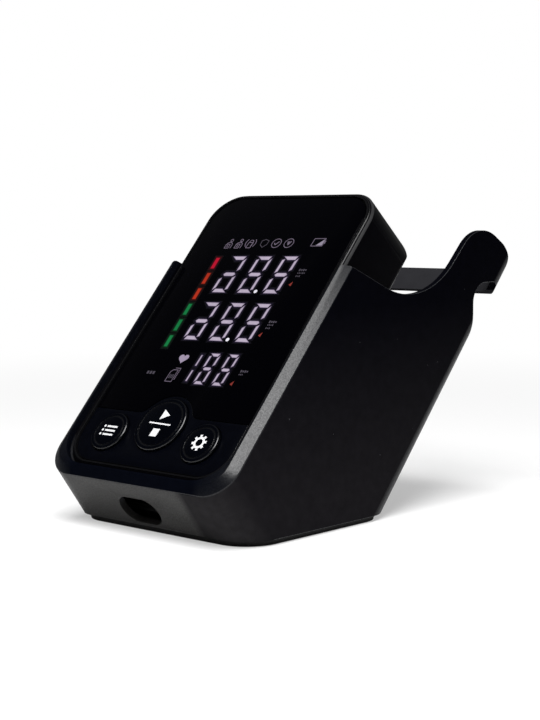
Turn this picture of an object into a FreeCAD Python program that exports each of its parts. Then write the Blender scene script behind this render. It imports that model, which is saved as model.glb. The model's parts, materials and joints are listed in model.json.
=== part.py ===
import FreeCAD, Part

import math
import os

# Upper-arm blood pressure monitor standing in a desk dock.
# Millimetres, +Z up, X across the width, +Y towards the back.
# The origin is the centre of the rubber pad's underside, on the table.
#
# The dock's rim and the monitor lean back together. They are drawn in a "face frame" whose
# x is the width, y runs up the sloping face from the dock's nose, and z stands out of the face,
# with z = 0 at the rim's outer edge. on_slope() turns a shape from that frame into the part's.

# ---------------------------------------------------------------- driving dimensions
# Dock shell
face_tilt = 48.3            # slope of the monitor's face above the table, degrees
lip_tilt = 54.6             # slope of the lower front lip, degrees
lip_length = 20.9           # from the shell's lower edge up to the nose
dock_margin = 4.5           # from the monitor's side to the dock's outer side
dock_depth = 78.4           # rim edge to the back wall's outer face, square to the face
rim_length = 99.3           # nose to the top end of the side rims
rim_height = 2.2            # crest of the rim above its outer edge
rim_bevel = 3.6             # width of the bevel between that edge and the crest
rim_flange = 5.0            # depth of the thick band behind the rim
front_corner = 12.0
back_corner = 9.0
side_wall = 2.4
back_wall = 2.5
lip_wall = 2.6
arm_drop_angle = 22.9       # fall of the side arm behind the rim, degrees
arm_drop = 48.85
arm_rise_angle = 44.5       # rise of the arm towards the hook, degrees
arm_rise = 49.2
valley_radius = 38.7
hook_top_angle = 30.0       # fall of the hook's top towards the back, degrees
hook_top_radius = 17.7
hook_back_radius = 12.0
hook_setback = 1.5          # how far the hook stands behind the back wall
hook_length = 17.95         # from the hook's top corner down to its tip
hook_tip = 2.3              # thickness of the tip
hook_slant = 1.0            # how much thicker the hook is at the notch's top
notch_height = 5.2
notch_width = 17.9
notch_corner = 4.5          # rounding beside the tip
neck_corner = 8.0
wall_corner = 8.0           # rounding at the top of the back wall
tip_corner = 1.1
rim_corner = 1.2            # rounding of the rim's top end

# Cable opening in the lip
opening_width = 19.5
opening_height = 12.4
opening_up = 7.7            # centre, up the lip from its lower edge
opening_side = -2.5         # centre, off the middle

# Base
pad_thickness = 1.2
pad_inset = 1.6
plate_flange = 0.9          # edge of the base plate that shows under the shell
plate_inset = 1.1
plate_rise = 1.7            # how far the base plate's step reaches up inside the shell
plate_fit = 0.5
base_front_corner = 14.0    # corners of the base plate
base_back_corner = 12.0
base_screw_inset = 10.0     # screws from the dock's sides
base_screw_front = 30.0     # front screws behind the lip's foot
base_screw_back = 14.0      # back screws in front of the back wall's foot
post_web = 1.6
post_radius = 3.6
post_height = 7.0
dock_screw_radius = 1.3
dock_screw_head = 2.8
dock_screw_head_height = 1.0
dock_screw_length = 6.0

# Cradle tray that the monitor leans on
tray_thickness = 2.0
tray_top = 95.0
tray_ledge = 16.0           # depth below the face where the tray's ledge ends
tray_corner = 7.5           # rounding between the tray's ledge and its back
tray_fit = 0.3
port_gap = 24.0             # half-width of the ledge's cut-out for the plugs
rail_width = 1.5            # ribs that hold the tray
rail_reach = 1.5
rail_low = 30.0
rail_high = 88.0
guide_width = 1.4           # ribs that guide the monitor's sides
guide_fit = 0.5
guide_depths = (11.0, 20.0)
guide_low = 14.0
guide_high = 92.0

# Monitor
monitor_width = 83.0
monitor_length = 131.5
monitor_depth = 28.0
monitor_fit = 0.35          # gap between the monitor and the dock's rim
monitor_foot = 4.5          # from the nose line to the monitor's lower end
monitor_corner = 14.0
monitor_roll = 9.0          # rounding of its lower and upper ends at the back
monitor_edge = 2.5
inner_edge = 0.4            # least rounding inside the case
glass_level = 0.0           # front of the window against the rim's outer edge
case_wall = 2.0
case_bevel = 1.3
bezel_inset = 1.5
seam = 0.15
seat_fit = 0.1              # between faces that seat on each other
touch_gap = 0.02            # between pieces that touch
bezel_ring = 0.7
bezel_ring_rise = 0.25
bezel_groove = 0.6
plate_depth = 1.8           # thickness of the front frame behind the window
window_thickness = 1.5
skirt_depth = 3.0
skirt_gap = 0.6
skirt_wall = 1.2

# Buttons and their panel
panel_top = 29.8            # upper edge of the button panel
panel_drop = 0.25           # panel below the window
button_side = -1.0          # middle of the row, off the monitor's middle
start_y = 25.4
start_radius = 11.2
side_button_y = 19.9
side_button_radius = 8.1
side_button_x = 23.2
button_fit = 0.25
button_rise = 0.9
button_travel = 0.8
button_flange = 1.0
button_lip = 0.75           # how far the flange reaches past the frame's hole
button_round = 0.7
button_wall = 1.6
button_roof = 3.7           # thickness of the cap's top
button_stem = 2.4
stem_gap = 0.15
rim_line = 1.5              # groove round the cap, from its edge
rim_line_width = 0.5
rim_line_depth = 0.25
panel_bump = 12.9           # radius of the panel's bump round the start button
bump_blend = 5.0

# Display
display_left = -28.0
display_right = 26.0
display_bottom = 41.0
display_top = 116.0
display_corner = 2.0
segment_slant = 3.0         # lean of the digits and bars, degrees
big_digit_height = 17.7
big_digit_width = 7.6
big_digit_pitch = 12.95
row_one_y = 86.4
row_two_y = 63.7
small_digit_height = 13.9
small_digit_width = 5.2
small_digit_pitch = 9.1
row_three_y = 44.0
digits_left = -15.7
small_digits_left = 2.2
one_left = -2.1             # the single 1 before the small digits
one_width = 0.8
segment_bar = 2.1           # thickness of a big digit's level segments
segment_side = 1.3          # and of its upright ones
segment_gap = 0.4
one_end = 1.0               # from the 1's ends to its segments
point_radius = 0.8
point_left = 3.4            # from the last big digit to the point before it
bar_x = -23.9               # lower left corner of the lowest level bar
bar_height = 5.4
bar_width = 1.9
bar_pitch = 7.6
bar_bottom = 59.8
bar_count = 6
guide_side_fit = 0.3        # reflector block inside the front frame's opening
guide_drop = 0.3            # its front below the back of the window
cell_depth = 1.2            # thickness of the diffusers
lamp_size = 0.7
lamp_height = 0.5

# Boards
board_gap = 3.2             # from the front frame to the boards
board_thickness = 1.6
board_margin = 4.5          # from the monitor's sides to the boards
board_corner = 5.0
board_end = 8.0             # from the monitor's upper end to the display board
board_start = 5.0           # from the monitor's lower end to the main board
board_below = 3.0           # display board past the display's lower edge
board_split = 1.0           # gap between the two boards
board_fit = 0.3             # round the case posts
board_post_side = 3.0       # posts from the boards' sides
board_post_spots = (-9.0, 4.0)    # and from the display's lower edge
board_post_top = 8.0        # and below its upper edge
keypad_height = 1.0
dome_radius = 4.0
dome_height = 0.8
dome_taper = 1.4
keypad_corner = 3.0
keypad_side = 7.0           # keypad past the middles of the outer domes
keypad_below = 8.9          # and below and above the middles of the lower and upper ones
keypad_above = 10.6
chip_x = (16.5, 27.0)
chip_y = 13.5
chip_sizes = ((9.0, 7.0, 1.6), (6.0, 5.0, 1.4))
chip_gap = 0.15
pin_pitch = 1.6
pin_length = 1.2
pin_width = 0.5

# Battery bay: four AA cells side by side
cell_radius = 7.1
cell_length = 49.5
cell_gap = 0.4
cell_nub_radius = 2.6
cell_nub_length = 1.0
cell_count = 4
cell_round = 0.6
cell_seat = 0.6             # cells above the cover
bay_wall = 1.2
bay_end = 1.0               # room past the springs and the cells
bay_seat = 1.6              # from the boards to the bay's roof
spring_length = 3.0
spring_radius = 3.2
spring_wire = 0.35
spring_half_turns = 5
contact_thickness = 0.4
contact_half = 5.5
dimple_radius = 3.4
dimple_end = 2.4
cover_thickness = 2.0
cover_fit = 0.25
cover_width = 62.0
cover_bottom = 68.0
cover_end = 1.0             # the cover stops this far below the end of the upper roll
cover_latch = 2.0           # from the cover's lower edge to its rails
rail_x = 29.9               # inner side of the cover's hooked rails
rail_height = 2.2
rail_stem = 0.8
rail_flange = 2.0
grip_count = 5
grip_pitch = 2.4
grip_start = 8.0
grip_length = 18.0
grip_radius = 0.8
grip_depth = 0.45

# Air system
pump_radius = 8.2
pump_motor_length = 27.0
pump_head_length = 16.0
pump_side = 6.5             # from the monitor's side
pump_y = 50.0
pump_z = -17.1
motor_round = 1.2
motor_boss = 3.0
motor_boss_length = 1.2
motor_shaft = 1.0
motor_shaft_length = 3.0
head_step = 0.3             # pump head's radius over the motor's
head_grooves = (5.0, 11.0)
head_groove = 0.8
saddle_drop = 3.0           # its top below the pump's axis
saddle_start = 3.0          # along the motor
saddle_length = 20.0
saddle_half = 7.5
valve_radius = 5.5
valve_length = 16.0
valve_x = 15.0
valve_drop = 2.3            # valve's axis below the air line
valve_frame = 0.5           # bracket's width and height past the coil
valve_plate = 1.2
valve_y = 27.0
branch_y = 36.0             # manifold nozzle that the pump's tube goes to
turn_x = 22.0               # where the pump's tube turns back
tube_radius = 2.2
nozzle_radius = 1.45
nozzle_length = 3.5
air_hole = 0.6
tube_gap = 0.1              # between a tube's end and what it is pushed up to
bend_share = 0.45           # part of a tube's shorter run that a bend takes
manifold_half = 4.0
manifold_rise = 3.2
manifold_past = 3.0         # past the first and last nozzle
manifold_bore = 1.0
manifold_round = 1.0
manifold_leg = 2.2
sensor_side = 4.5           # half of the sensor's width
sensor_below = 2.2
sensor_away = 17.0          # sensor's middle from the manifold's
socket_x = -8.5
port_z = -13.0
socket_radius = 4.6
socket_bore = 2.1
socket_depth = 9.0
socket_sink = 0.2           # its front below the case's end
socket_front = 5.0
socket_flange = 1.2
socket_wall = 1.3
usb_x = 4.0
usb_width = 9.0
usb_height = 3.3
usb_depth = 7.4
usb_sink = 0.3
usb_fit = 0.2
usb_wall = 0.35
usb_end = 0.8               # thickness of the shell's closed end
usb_tongue = 0.7
usb_tongue_half = 3.2
usb_leg = 1.0
oval_flat = 0.05            # straight run left at the ends of an oval

# Speaker, screws and feet
speaker_radius = 8.0
speaker_height = 3.6
speaker_magnet = 4.4
speaker_magnet_height = 1.6
speaker_rim = 2.0
speaker_recess = 0.6
speaker_side = 3.0          # from the case wall
speaker_up = 44.0           # from the monitor's lower end
speaker_hole = 0.8
speaker_ring = 3.6
screw_radius = 1.2
screw_head = 2.2
screw_head_height = 1.5
screw_seat = 4.5            # underside of the sunk screw heads from the monitor's back
case_screw_length = 17.0
case_post = 3.1
case_post_side = 0.25       # from the case wall
case_post_low = 12.0        # from the monitor's lower end
case_post_high = 13.0       # from its upper end
post_clear = 0.3            # front posts end this far above the bay's roof
board_post = 2.2
board_screw = 0.8
board_screw_head = 1.9
board_screw_height = 1.1
board_screw_end = 0.6       # its end short of the front frame
cross_reach = 0.62          # cross recess, as parts of the screw head's radius
cross_half = 0.12
cross_depth = 0.45          # and of the head's height
pilot_fit = 0.05            # between a screw and its pilot hole
screw_fit = 0.15            # round a screw's shank or head in a clearance hole
pad_screw_fit = 0.6
foot_radius = 3.2
foot_height = 1.0
foot_proud = 0.5
foot_fit = 0.1
foot_side = 6.1             # from the monitor's sides
foot_end = 24.0             # from its ends
foot_gap = 0.3              # between the feet and the tray

# ---------------------------------------------------------------- derived places
TILT = math.radians(face_tilt)
LIP = math.radians(lip_tilt)
foot_z = pad_thickness + plate_flange           # lower edge of the shell's walls
nose_z = foot_z + lip_length * math.sin(LIP)
lip_run = lip_length * math.cos(LIP)
back_foot_s = (foot_z - nose_z + dock_depth * math.cos(TILT)) / math.sin(TILT)
base_length = dock_depth * math.sin(TILT) + back_foot_s * math.cos(TILT) - lip_run
lip_foot_y = -base_length / 2
nose_y = lip_foot_y - lip_run
monitor_half = monitor_width / 2
half_width = monitor_half + dock_margin
hook_depth = dock_depth + hook_setback

monitor_end = monitor_foot + monitor_length
back_z = glass_level - monitor_depth            # monitor's back face in the face frame
inside_z = back_z + case_wall
frame_top = glass_level - window_thickness      # front of the frame behind the window
frame_back = frame_top - plate_depth
board_z = frame_back - board_gap                # front of the circuit boards
board_back = board_z - board_thickness
board_half = monitor_half - board_margin
board_low = display_bottom - board_below        # lower end of the display board
bay_roof = board_back - bay_seat
post_meet = bay_roof + post_clear               # where the front and rear screw posts meet
post_length = frame_back - post_meet
seat_z = back_z - foot_proud - foot_gap         # front of the cradle tray
cell_z = back_z + cover_thickness + cell_radius + cell_seat
cell_pitch = 2 * cell_radius + cell_gap
bay_length = cell_count * cell_pitch + 2 * cell_gap
bay_half = cell_length / 2 + spring_length + bay_end
bay_bottom = monitor_end - cover_thickness - cover_fit - bay_wall - bay_length
pump_x = pump_side - monitor_half               # closed end of the pump's motor
head_end = pump_x + pump_motor_length + pump_head_length

FAR = 400.0                                     # past every surface of the object
PAST = 1.0                                      # how far a cut runs past what it cuts
LAP = 0.1                                       # how far joined shapes run into each other
NEAR = 0.01                                     # closer than this counts as in place
TINY = 1e-4                                     # shorter than this is no edge
ARC_SHARE = 0.99                                # most of a run that the arcs at its ends take
V = FreeCAD.Vector


# ---------------------------------------------------------------- drawing helpers
def slope_point(s, z):
    """Part-frame Y and Z of the face-frame point that is s up the slope and z out of it."""
    y = nose_y + s * math.cos(TILT) - z * math.sin(TILT)
    return y, nose_z + s * math.sin(TILT) + z * math.cos(TILT)


def on_slope(shape):
    """Move a shape from the face frame to the part's frame."""
    moved = shape.copy()
    turn = FreeCAD.Rotation(V(1, 0, 0), face_tilt)
    moved.Placement = FreeCAD.Placement(V(0, nose_y, nose_z), turn)
    return moved


def box(x0, x1, y0, y1, z0, z1):
    return Part.makeBox(x1 - x0, y1 - y0, z1 - z0, V(x0, y0, z0))


def rod(x, y, z, radius, length, axis=(0, 0, 1)):
    return Part.makeCylinder(radius, length, V(x, y, z), V(*axis))


def ring(x, y, z, outer, inner, length, axis=(0, 0, 1)):
    return rod(x, y, z, outer, length, axis).cut(rod(x, y, z, inner, length, axis))


def join(shapes):
    """One shape of all the given ones."""
    shapes = list(shapes)
    if len(shapes) == 1:
        return shapes[0]
    return shapes[0].fuse(shapes[1:]).removeSplitter()


def group(shapes):
    """Separate solids kept together in one node."""
    return Part.makeCompound(list(shapes))


def corner_reaches(corners):
    """Length that each corner's arc takes from its two runs, shared where a run is too short."""
    count = len(corners)
    halves = []
    reaches = []
    for i in range(count):
        here = V(corners[i][0], corners[i][1], 0)
        back = V(corners[i - 1][0], corners[i - 1][1], 0).sub(here)
        ahead = V(corners[(i + 1) % count][0], corners[(i + 1) % count][1], 0).sub(here)
        half = back.getAngle(ahead) / 2
        halves.append(half)
        reaches.append(max(corners[i][2], 0) / math.tan(half))
    for i in range(count):
        j = (i + 1) % count
        run = math.hypot(corners[j][0] - corners[i][0], corners[j][1] - corners[i][1])
        taken = reaches[i] + reaches[j]
        if taken > ARC_SHARE * run:
            reaches[i] *= ARC_SHARE * run / taken
            reaches[j] *= ARC_SHARE * run / taken
    return halves, reaches


def rounded_path(corners, place):
    """A closed wire through 2-D corners (a, b, radius), each rounded; place(a, b) gives a Vector."""
    count = len(corners)
    halves, reaches = corner_reaches(corners)
    edges = []
    ends = []
    for i in range(count):
        here = V(corners[i][0], corners[i][1], 0)
        if corners[i][2] <= 0:
            ends.append((here, None, here))
            continue
        back = V(corners[i - 1][0], corners[i - 1][1], 0).sub(here).normalize()
        ahead = V(corners[(i + 1) % count][0], corners[(i + 1) % count][1], 0).sub(here).normalize()
        radius = reaches[i] * math.tan(halves[i])
        middle = here + (back + ahead).normalize() * (radius / math.sin(halves[i]) - radius)
        ends.append((here + back * reaches[i], middle, here + ahead * reaches[i]))
    for i in range(count):
        start, middle, stop = ends[i]
        following = ends[(i + 1) % count][0]
        if middle is not None:
            arc = Part.Arc(place(start.x, start.y), place(middle.x, middle.y), place(stop.x, stop.y))
            edges.append(arc.toShape())
        if following.sub(stop).Length > TINY:
            line = Part.LineSegment(place(stop.x, stop.y), place(following.x, following.y))
            edges.append(line.toShape())
    return Part.Wire(edges)


def rounded_rect(x0, x1, y0, y1, z, radii):
    """A wire in a plane of constant z; radii are for the (x0 y0), (x1 y0), (x1 y1), (x0 y1) corners."""
    corners = [(x0, y0, radii[0]), (x1, y0, radii[1]), (x1, y1, radii[2]), (x0, y1, radii[3])]
    return rounded_path(corners, lambda a, b: V(a, b, z))


def slab(x0, x1, y0, y1, z0, z1, radius):
    """A plate with rounded corners; radius is one value or one for each corner."""
    radii = radius if isinstance(radius, (list, tuple)) else [radius] * 4
    return Part.Face(rounded_rect(x0, x1, y0, y1, z0, radii)).extrude(V(0, 0, z1 - z0))


def side_profile(corners, half):
    """Extrude a (y, z, radius) outline across the width from -half to half."""
    wire = rounded_path(corners, lambda a, b: V(-half, a, b))
    return Part.Face(wire).extrude(V(2 * half, 0, 0))


def solid_of(shape):
    """The single solid inside a shape."""
    return max(shape.Solids, key=lambda s: s.Volume)


def export(name, shape):
    shape.exportStep("parts/" + name + ".step")
    print(name, len(shape.Solids), round(shape.Volume, 1), shape.isValid())


# ---------------------------------------------------------------- dock shell
def line_meet(p, angle, q, slope):
    """Where the line through p at one angle meets the line through q at another, in radians."""
    c, s = math.cos(angle), math.sin(angle)
    e, f = math.cos(slope), math.sin(slope)
    t = ((q[0] - p[0]) * f - (q[1] - p[1]) * e) / (c * f - s * e)
    return p[0] + c * t, p[1] + s * t


def lip_vector():
    """Unit vector down the lip in the face frame."""
    world_y, world_z = math.cos(LIP), -math.sin(LIP)
    along = world_y * math.cos(TILT) + world_z * math.sin(TILT)
    out = -world_y * math.sin(TILT) + world_z * math.cos(TILT)
    return V(0, along, out)


def dock_side_outline():
    """The dock's outline from the side, as (y, z, radius) corners in the part's frame."""
    down = lip_vector()
    reach = rim_height / -down.z
    crest_nose = slope_point(-down.y * reach, rim_height)
    rim_top = slope_point(rim_length, rim_height)
    drop = math.radians(arm_drop_angle)
    rise = math.radians(arm_rise_angle)
    valley = (rim_top[0] + arm_drop * math.cos(drop), rim_top[1] - arm_drop * math.sin(drop))
    head = (valley[0] + arm_rise * math.cos(rise), valley[1] + arm_rise * math.sin(rise))
    hook_line = slope_point(0, -hook_depth)
    hook_back = line_meet(head, -math.radians(hook_top_angle), hook_line, TILT)
    tip = (hook_back[0] - hook_length * math.cos(TILT), hook_back[1] - hook_length * math.sin(TILT))
    notch_top = tip[1] + notch_height
    neck_y = tip[0] - hook_tip - notch_width
    wall_top = line_meet((neck_y, tip[1]), math.pi / 2, slope_point(0, -dock_depth), TILT)
    return [
        (lip_foot_y, foot_z, 0),
        (crest_nose[0], crest_nose[1], 0),
        (rim_top[0], rim_top[1], rim_corner),
        (valley[0], valley[1], valley_radius),
        (head[0], head[1], hook_top_radius),
        (hook_back[0], hook_back[1], hook_back_radius),
        (tip[0], tip[1], tip_corner),
        (tip[0] - hook_tip, tip[1], tip_corner),
        (tip[0] - hook_tip - hook_slant, notch_top, notch_corner),
        (neck_y, notch_top, neck_corner),
        (wall_top[0], wall_top[1], wall_corner),
        (lip_foot_y + base_length, foot_z, 0),
    ]


def front_envelope(half, start, depth, corner):
    """Everything behind a lip of the given half-width: a rounded section swept down the lip."""
    section = Part.Face(rounded_rect(-half, half, start, FAR, -depth, [corner, corner, 0, 0]))
    return section.extrude(lip_vector() * FAR)


def back_envelope(half, depth, corner, low, high):
    """Everything in front of a back wall with rounded corners, from low to high up the slope."""
    corners = [(-half, -depth, corner), (half, -depth, corner), (half, FAR, 0), (-half, FAR, 0)]
    wire = rounded_path(corners, lambda a, b: V(a, low, b))
    return Part.Face(wire).extrude(V(0, high - low, 0))


def dock_outer():
    body = side_profile(dock_side_outline(), half_width)
    bevel = Part.makeLoft([
        rounded_rect(-half_width, half_width, 0, FAR, 0, [front_corner, front_corner, 1, 1]),
        rounded_rect(-half_width + rim_bevel, half_width - rim_bevel, rim_bevel, FAR, rim_height,
                     [front_corner - rim_bevel, front_corner - rim_bevel, 1, 1])], True, True)
    front = front_envelope(half_width, 0, 0, front_corner).fuse(bevel)
    split = slope_s_of_notch()
    back = back_envelope(half_width, dock_depth, back_corner, -FAR, split)
    back = back.fuse(back_envelope(half_width, hook_depth, back_corner, split, FAR))
    return solid_of(body.common(on_slope(front)).common(on_slope(back)))


def slope_s_of_notch():
    """Distance up the slope of the notch's middle, where no back wall stands."""
    tip = dock_side_outline()[6]
    dy, dz = tip[0] - nose_y, tip[1] - nose_z
    return dy * math.cos(TILT) + dz * math.sin(TILT) - notch_width / 2


def dock_hollow():
    """The open inside of the shell: a deep bay behind the rim flange and the monitor's pocket."""
    half = half_width - side_wall
    down = lip_vector()
    across = lip_wall / -down.z
    start = down.y * rim_flange / -down.z + across
    deep = front_envelope(half, start, rim_flange, front_corner - lip_wall)
    split = slope_s_of_notch()
    inner_corner = back_corner - back_wall
    back = back_envelope(half, dock_depth - back_wall, inner_corner, -FAR, split)
    back = back.fuse(back_envelope(half, hook_depth - back_wall, inner_corner, split, FAR))
    deep = deep.common(back)
    pocket_half = monitor_half + monitor_fit
    pocket_corner = monitor_corner + monitor_fit
    pocket = slab(-pocket_half, pocket_half, monitor_foot - monitor_fit, FAR, -rim_flange - PAST, FAR,
                  [pocket_corner, pocket_corner, 0, 0])
    return deep.fuse(pocket)


def cable_opening():
    """The oval tunnel through the lip, in the part's frame."""
    w = opening_width / 2
    h = opening_height / 2
    tunnel = slab(-w, w, -h, h, -3 * lip_wall, 3 * lip_wall, h - oval_flat)
    turn = FreeCAD.Rotation(V(1, 0, 0), 180 - lip_tilt)
    y = lip_foot_y - opening_up * math.cos(LIP)
    z = foot_z + opening_up * math.sin(LIP)
    tunnel.Placement = FreeCAD.Placement(V(opening_side, y, z), turn)
    return tunnel


def screw_places():
    x = half_width - base_screw_inset
    front = lip_foot_y + base_screw_front
    back = lip_foot_y + base_length - base_screw_back
    return [(px, py) for px in (-x, x) for py in (front, back)]


def dock_posts(outer):
    """Screw posts inside the walls, each tied to its side wall by a web."""
    posts = []
    low = foot_z + plate_rise + pilot_fit
    web_half = post_web / 2
    for x, y in screw_places():
        side = 1 if x > 0 else -1
        post = rod(x, y, low, post_radius, post_height)
        edge = side * (half_width - side_wall / 2)
        web = box(min(x, edge), max(x, edge), y - web_half, y + web_half, low, low + post_height)
        hole = rod(x, y, low - PAST, dock_screw_radius + pilot_fit, post_height - PAST)
        posts.append(post.fuse(web).cut(hole))
    return [post.common(outer) for post in posts]


def dock_rails():
    """Ribs up the side walls: two that guide the monitor's sides and one behind the tray."""
    half = half_width - side_wall
    rails = []
    for side in (-1, 1):
        wall = side * (half + side_wall / 2)
        guide = side * (monitor_half + guide_fit)
        for depth in guide_depths:
            rails.append(box(min(wall, guide), max(wall, guide), guide_low, guide_high,
                             -depth - guide_width / 2, -depth + guide_width / 2))
        reach = side * (half - rail_reach)
        behind = seat_z - tray_thickness - tray_fit
        before = seat_z + tray_fit + rail_width
        for z in (behind, before):
            rails.append(box(min(wall, reach), max(wall, reach), rail_low, rail_high, z - rail_width, z))
    return rails


def make_dock_shell():
    outer = dock_outer()
    shell = outer.cut(on_slope(dock_hollow()))
    shell = solid_of(shell).cut(cable_opening())
    extras = dock_posts(outer) + [on_slope(rail).common(outer) for rail in dock_rails()]
    return solid_of(join([shell] + extras))


def base_corners(inset):
    """Corner radii of the base plate, made smaller by an inset."""
    front, back = base_front_corner - inset, base_back_corner - inset
    return [front, front, back, back]


def make_base_plate():
    front = lip_foot_y
    back = lip_foot_y + base_length
    flange = slab(-half_width + plate_inset, half_width - plate_inset, front + plate_inset,
                  back - plate_inset, pad_thickness, foot_z, base_corners(0))
    side = half_width - side_wall - plate_fit
    inner_front = front + lip_wall / math.sin(LIP) + plate_fit
    inner_back = back - back_wall / math.sin(TILT) - plate_fit
    step = slab(-side, side, inner_front, inner_back, foot_z, foot_z + plate_rise, base_corners(0))
    plate = flange.fuse(step)
    for x, y in screw_places():
        plate = plate.cut(rod(x, y, 0, dock_screw_radius + screw_fit, FAR))
        plate = plate.cut(rod(x, y, 0, dock_screw_head + screw_fit,
                              pad_thickness + dock_screw_head_height + pilot_fit))
    return plate.removeSplitter()


def make_base_pad():
    back = lip_foot_y + base_length
    pad = slab(-half_width + pad_inset, half_width - pad_inset, lip_foot_y + pad_inset,
               back - pad_inset, 0, pad_thickness, base_corners(pad_inset - plate_inset))
    for x, y in screw_places():
        pad = pad.cut(rod(x, y, -PAST, dock_screw_head + pad_screw_fit, pad_thickness + 2 * PAST))
    return pad


def make_dock_screws():
    return group([
        cross_screw(x, y, pad_thickness, dock_screw_head, dock_screw_head_height,
                    dock_screw_radius, dock_screw_length) for x, y in screw_places()])


def make_cradle_tray():
    """The J-shaped tray that the monitor leans on and stands in."""
    half = half_width - side_wall - tray_fit
    front = seat_z
    low = monitor_foot - monitor_fit

    def outline(grow, end):
        return [
            (low - grow, -tray_ledge, 0),
            (low - grow, front - grow, tray_corner + grow),
            (end, front - grow, 0),
            (end, -tray_ledge, 0),
        ]

    outer = side_profile(outline(tray_thickness, tray_top), half)
    inner = side_profile(outline(0, tray_top + PAST), half + PAST)
    tray = solid_of(outer.cut(inner))
    down = lip_vector()
    start = (lip_wall + tray_fit) / -down.z
    room = front_envelope(half, start, 0, front_corner - lip_wall)
    tray = tray.common(room)
    ports = slab(-port_gap, port_gap, -FAR, low + PAST, front + tray_corner, FAR, 0)
    return on_slope(solid_of(tray.cut(ports)))


# ---------------------------------------------------------------- monitor case
def case_block(shrink, front):
    """The monitor's outer form made smaller by shrink on every side but the front."""
    half = monitor_half - shrink
    y0 = monitor_foot + shrink
    y1 = monitor_end - shrink
    low = back_z + shrink
    face = slab(-half, half, y0, y1, low - PAST, front, monitor_corner - shrink)
    roll = monitor_roll - shrink
    outline = [(y0, front, 0), (y0, low, roll), (y1, low, roll), (y1, front, 0)]
    side = side_profile(outline, half + PAST)
    edge = max(monitor_edge - shrink, inner_edge)
    corners = [(-half, low, edge), (half, low, edge), (half, front, 0), (-half, front, 0)]
    section = Part.Face(rounded_path(corners, lambda a, b: V(a, y0 - PAST, b)))
    end = section.extrude(V(0, y1 - y0 + 2 * PAST, 0))
    return solid_of(face.common(side).common(end))


def case_posts():
    """Places of the four screw posts, clear of the battery bay."""
    x = monitor_half - case_wall - case_post - case_post_side
    ends = (monitor_foot + case_post_low, monitor_end - case_post_high)
    return [(px, py) for px in (-x, x) for py in ends]


def cover_outline(grow, start, end_grow):
    """Side outline of the battery cover: a strip that follows the back and its upper roll."""
    top = monitor_end + end_grow
    inner_roll = monitor_roll - cover_thickness - grow
    low = back_z - end_grow
    outer = side_profile([(start, 0, 0), (start, low, 0), (top, low, monitor_roll + end_grow),
                          (top, 0, 0)], FAR)
    inside = back_z + cover_thickness + grow
    end = monitor_end - cover_thickness - grow
    inner = side_profile([(start - FAR, PAST, 0), (start - FAR, inside, 0), (end, inside, inner_roll),
                          (end, PAST, 0)], FAR + PAST)
    strip = outer.cut(inner)
    keep = box(-FAR, FAR, start, top + PAST, low - PAST, back_z + monitor_roll - cover_end + grow)
    return solid_of(strip.common(keep))


def make_rear_housing():
    outer = case_block(0, glass_level)
    rim = [edge for edge in outer.Edges
           if edge.BoundBox.ZMin > glass_level - NEAR and edge.BoundBox.ZMax < glass_level + NEAR]
    outer = outer.makeChamfer(case_bevel, rim)
    tub = outer.cut(case_block(case_wall, glass_level + PAST))
    seat = monitor_half - bezel_inset
    tub = tub.cut(slab(-seat, seat, monitor_foot + bezel_inset, monitor_end - bezel_inset,
                       frame_back - seat_fit, glass_level + PAST, monitor_corner - bezel_inset))
    tub = tub.fuse(bay_walls())
    for x, y in case_posts():
        post = rod(x, y, back_z + PAST, case_post, post_meet - seat_fit - back_z - PAST)
        tub = tub.fuse(post.common(outer))
    tub = tub.cut(box(-bay_half, bay_half, bay_bottom, bay_bottom + bay_length,
                      back_z - PAST, bay_roof - bay_wall))
    side = cover_width / 2 + cover_fit
    recess = cover_outline(cover_fit, cover_bottom, PAST)
    tub = tub.cut(recess.common(box(-side, side, 0, FAR, -FAR, 0)))
    for sign in (-1, 1):
        tub = tub.cut(cover_rail(sign, cover_fit, monitor_end + PAST))
    low = back_z - PAST
    for x, y in case_posts():
        tub = tub.cut(rod(x, y, low, screw_radius + screw_fit, FAR))
        tub = tub.cut(rod(x, y, low, screw_head + screw_fit, PAST + screw_seat + screw_head_height))
    end = monitor_foot - PAST
    reach = case_wall + 2 * PAST
    tub = tub.cut(rod(socket_x, end, port_z, socket_radius + screw_fit, reach, (0, 1, 0)))
    tub = tub.cut(usb_block(usb_fit, end, end + reach))
    for x, y in foot_places():
        tub = tub.cut(rod(x, y, low, foot_radius + foot_fit, PAST + foot_height - foot_proud))
    for x, y in speaker_holes():
        tub = tub.cut(rod(x, y, low, speaker_hole, case_wall + 2 * PAST))
    return on_slope(solid_of(tub.removeSplitter()))


def bay_walls():
    """The battery bay as a block with a ledge round it for the cover's rails."""
    low = back_z + case_wall / 4
    walls = box(-bay_half - bay_wall, bay_half + bay_wall, bay_bottom - bay_wall, monitor_end,
                low, bay_roof)
    ledge_half = rail_x + rail_flange + cover_fit + bay_wall
    ledge_top = back_z + cover_thickness + rail_height + cover_fit + bay_wall
    ledge = box(-ledge_half, ledge_half, cover_bottom - bay_wall, monitor_end, low, ledge_top)
    return walls.fuse(ledge).common(case_block(case_wall / 6, glass_level))


def cover_rail(sign, grow, end):
    """The hooked rail beside the bay that holds the cover, made larger by grow for its groove."""
    low = back_z + cover_thickness
    top = low + rail_height
    start = cover_bottom + cover_latch
    stem = [sign * (rail_x - grow), sign * (rail_x + rail_stem + grow)]
    hook = [sign * (rail_x - grow), sign * (rail_x + rail_flange + grow)]
    rail = box(min(stem), max(stem), start - grow, end, low - seat_fit, top + grow)
    return rail.fuse(box(min(hook), max(hook), start - grow, end, top - rail_stem - grow, top + grow))


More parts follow.
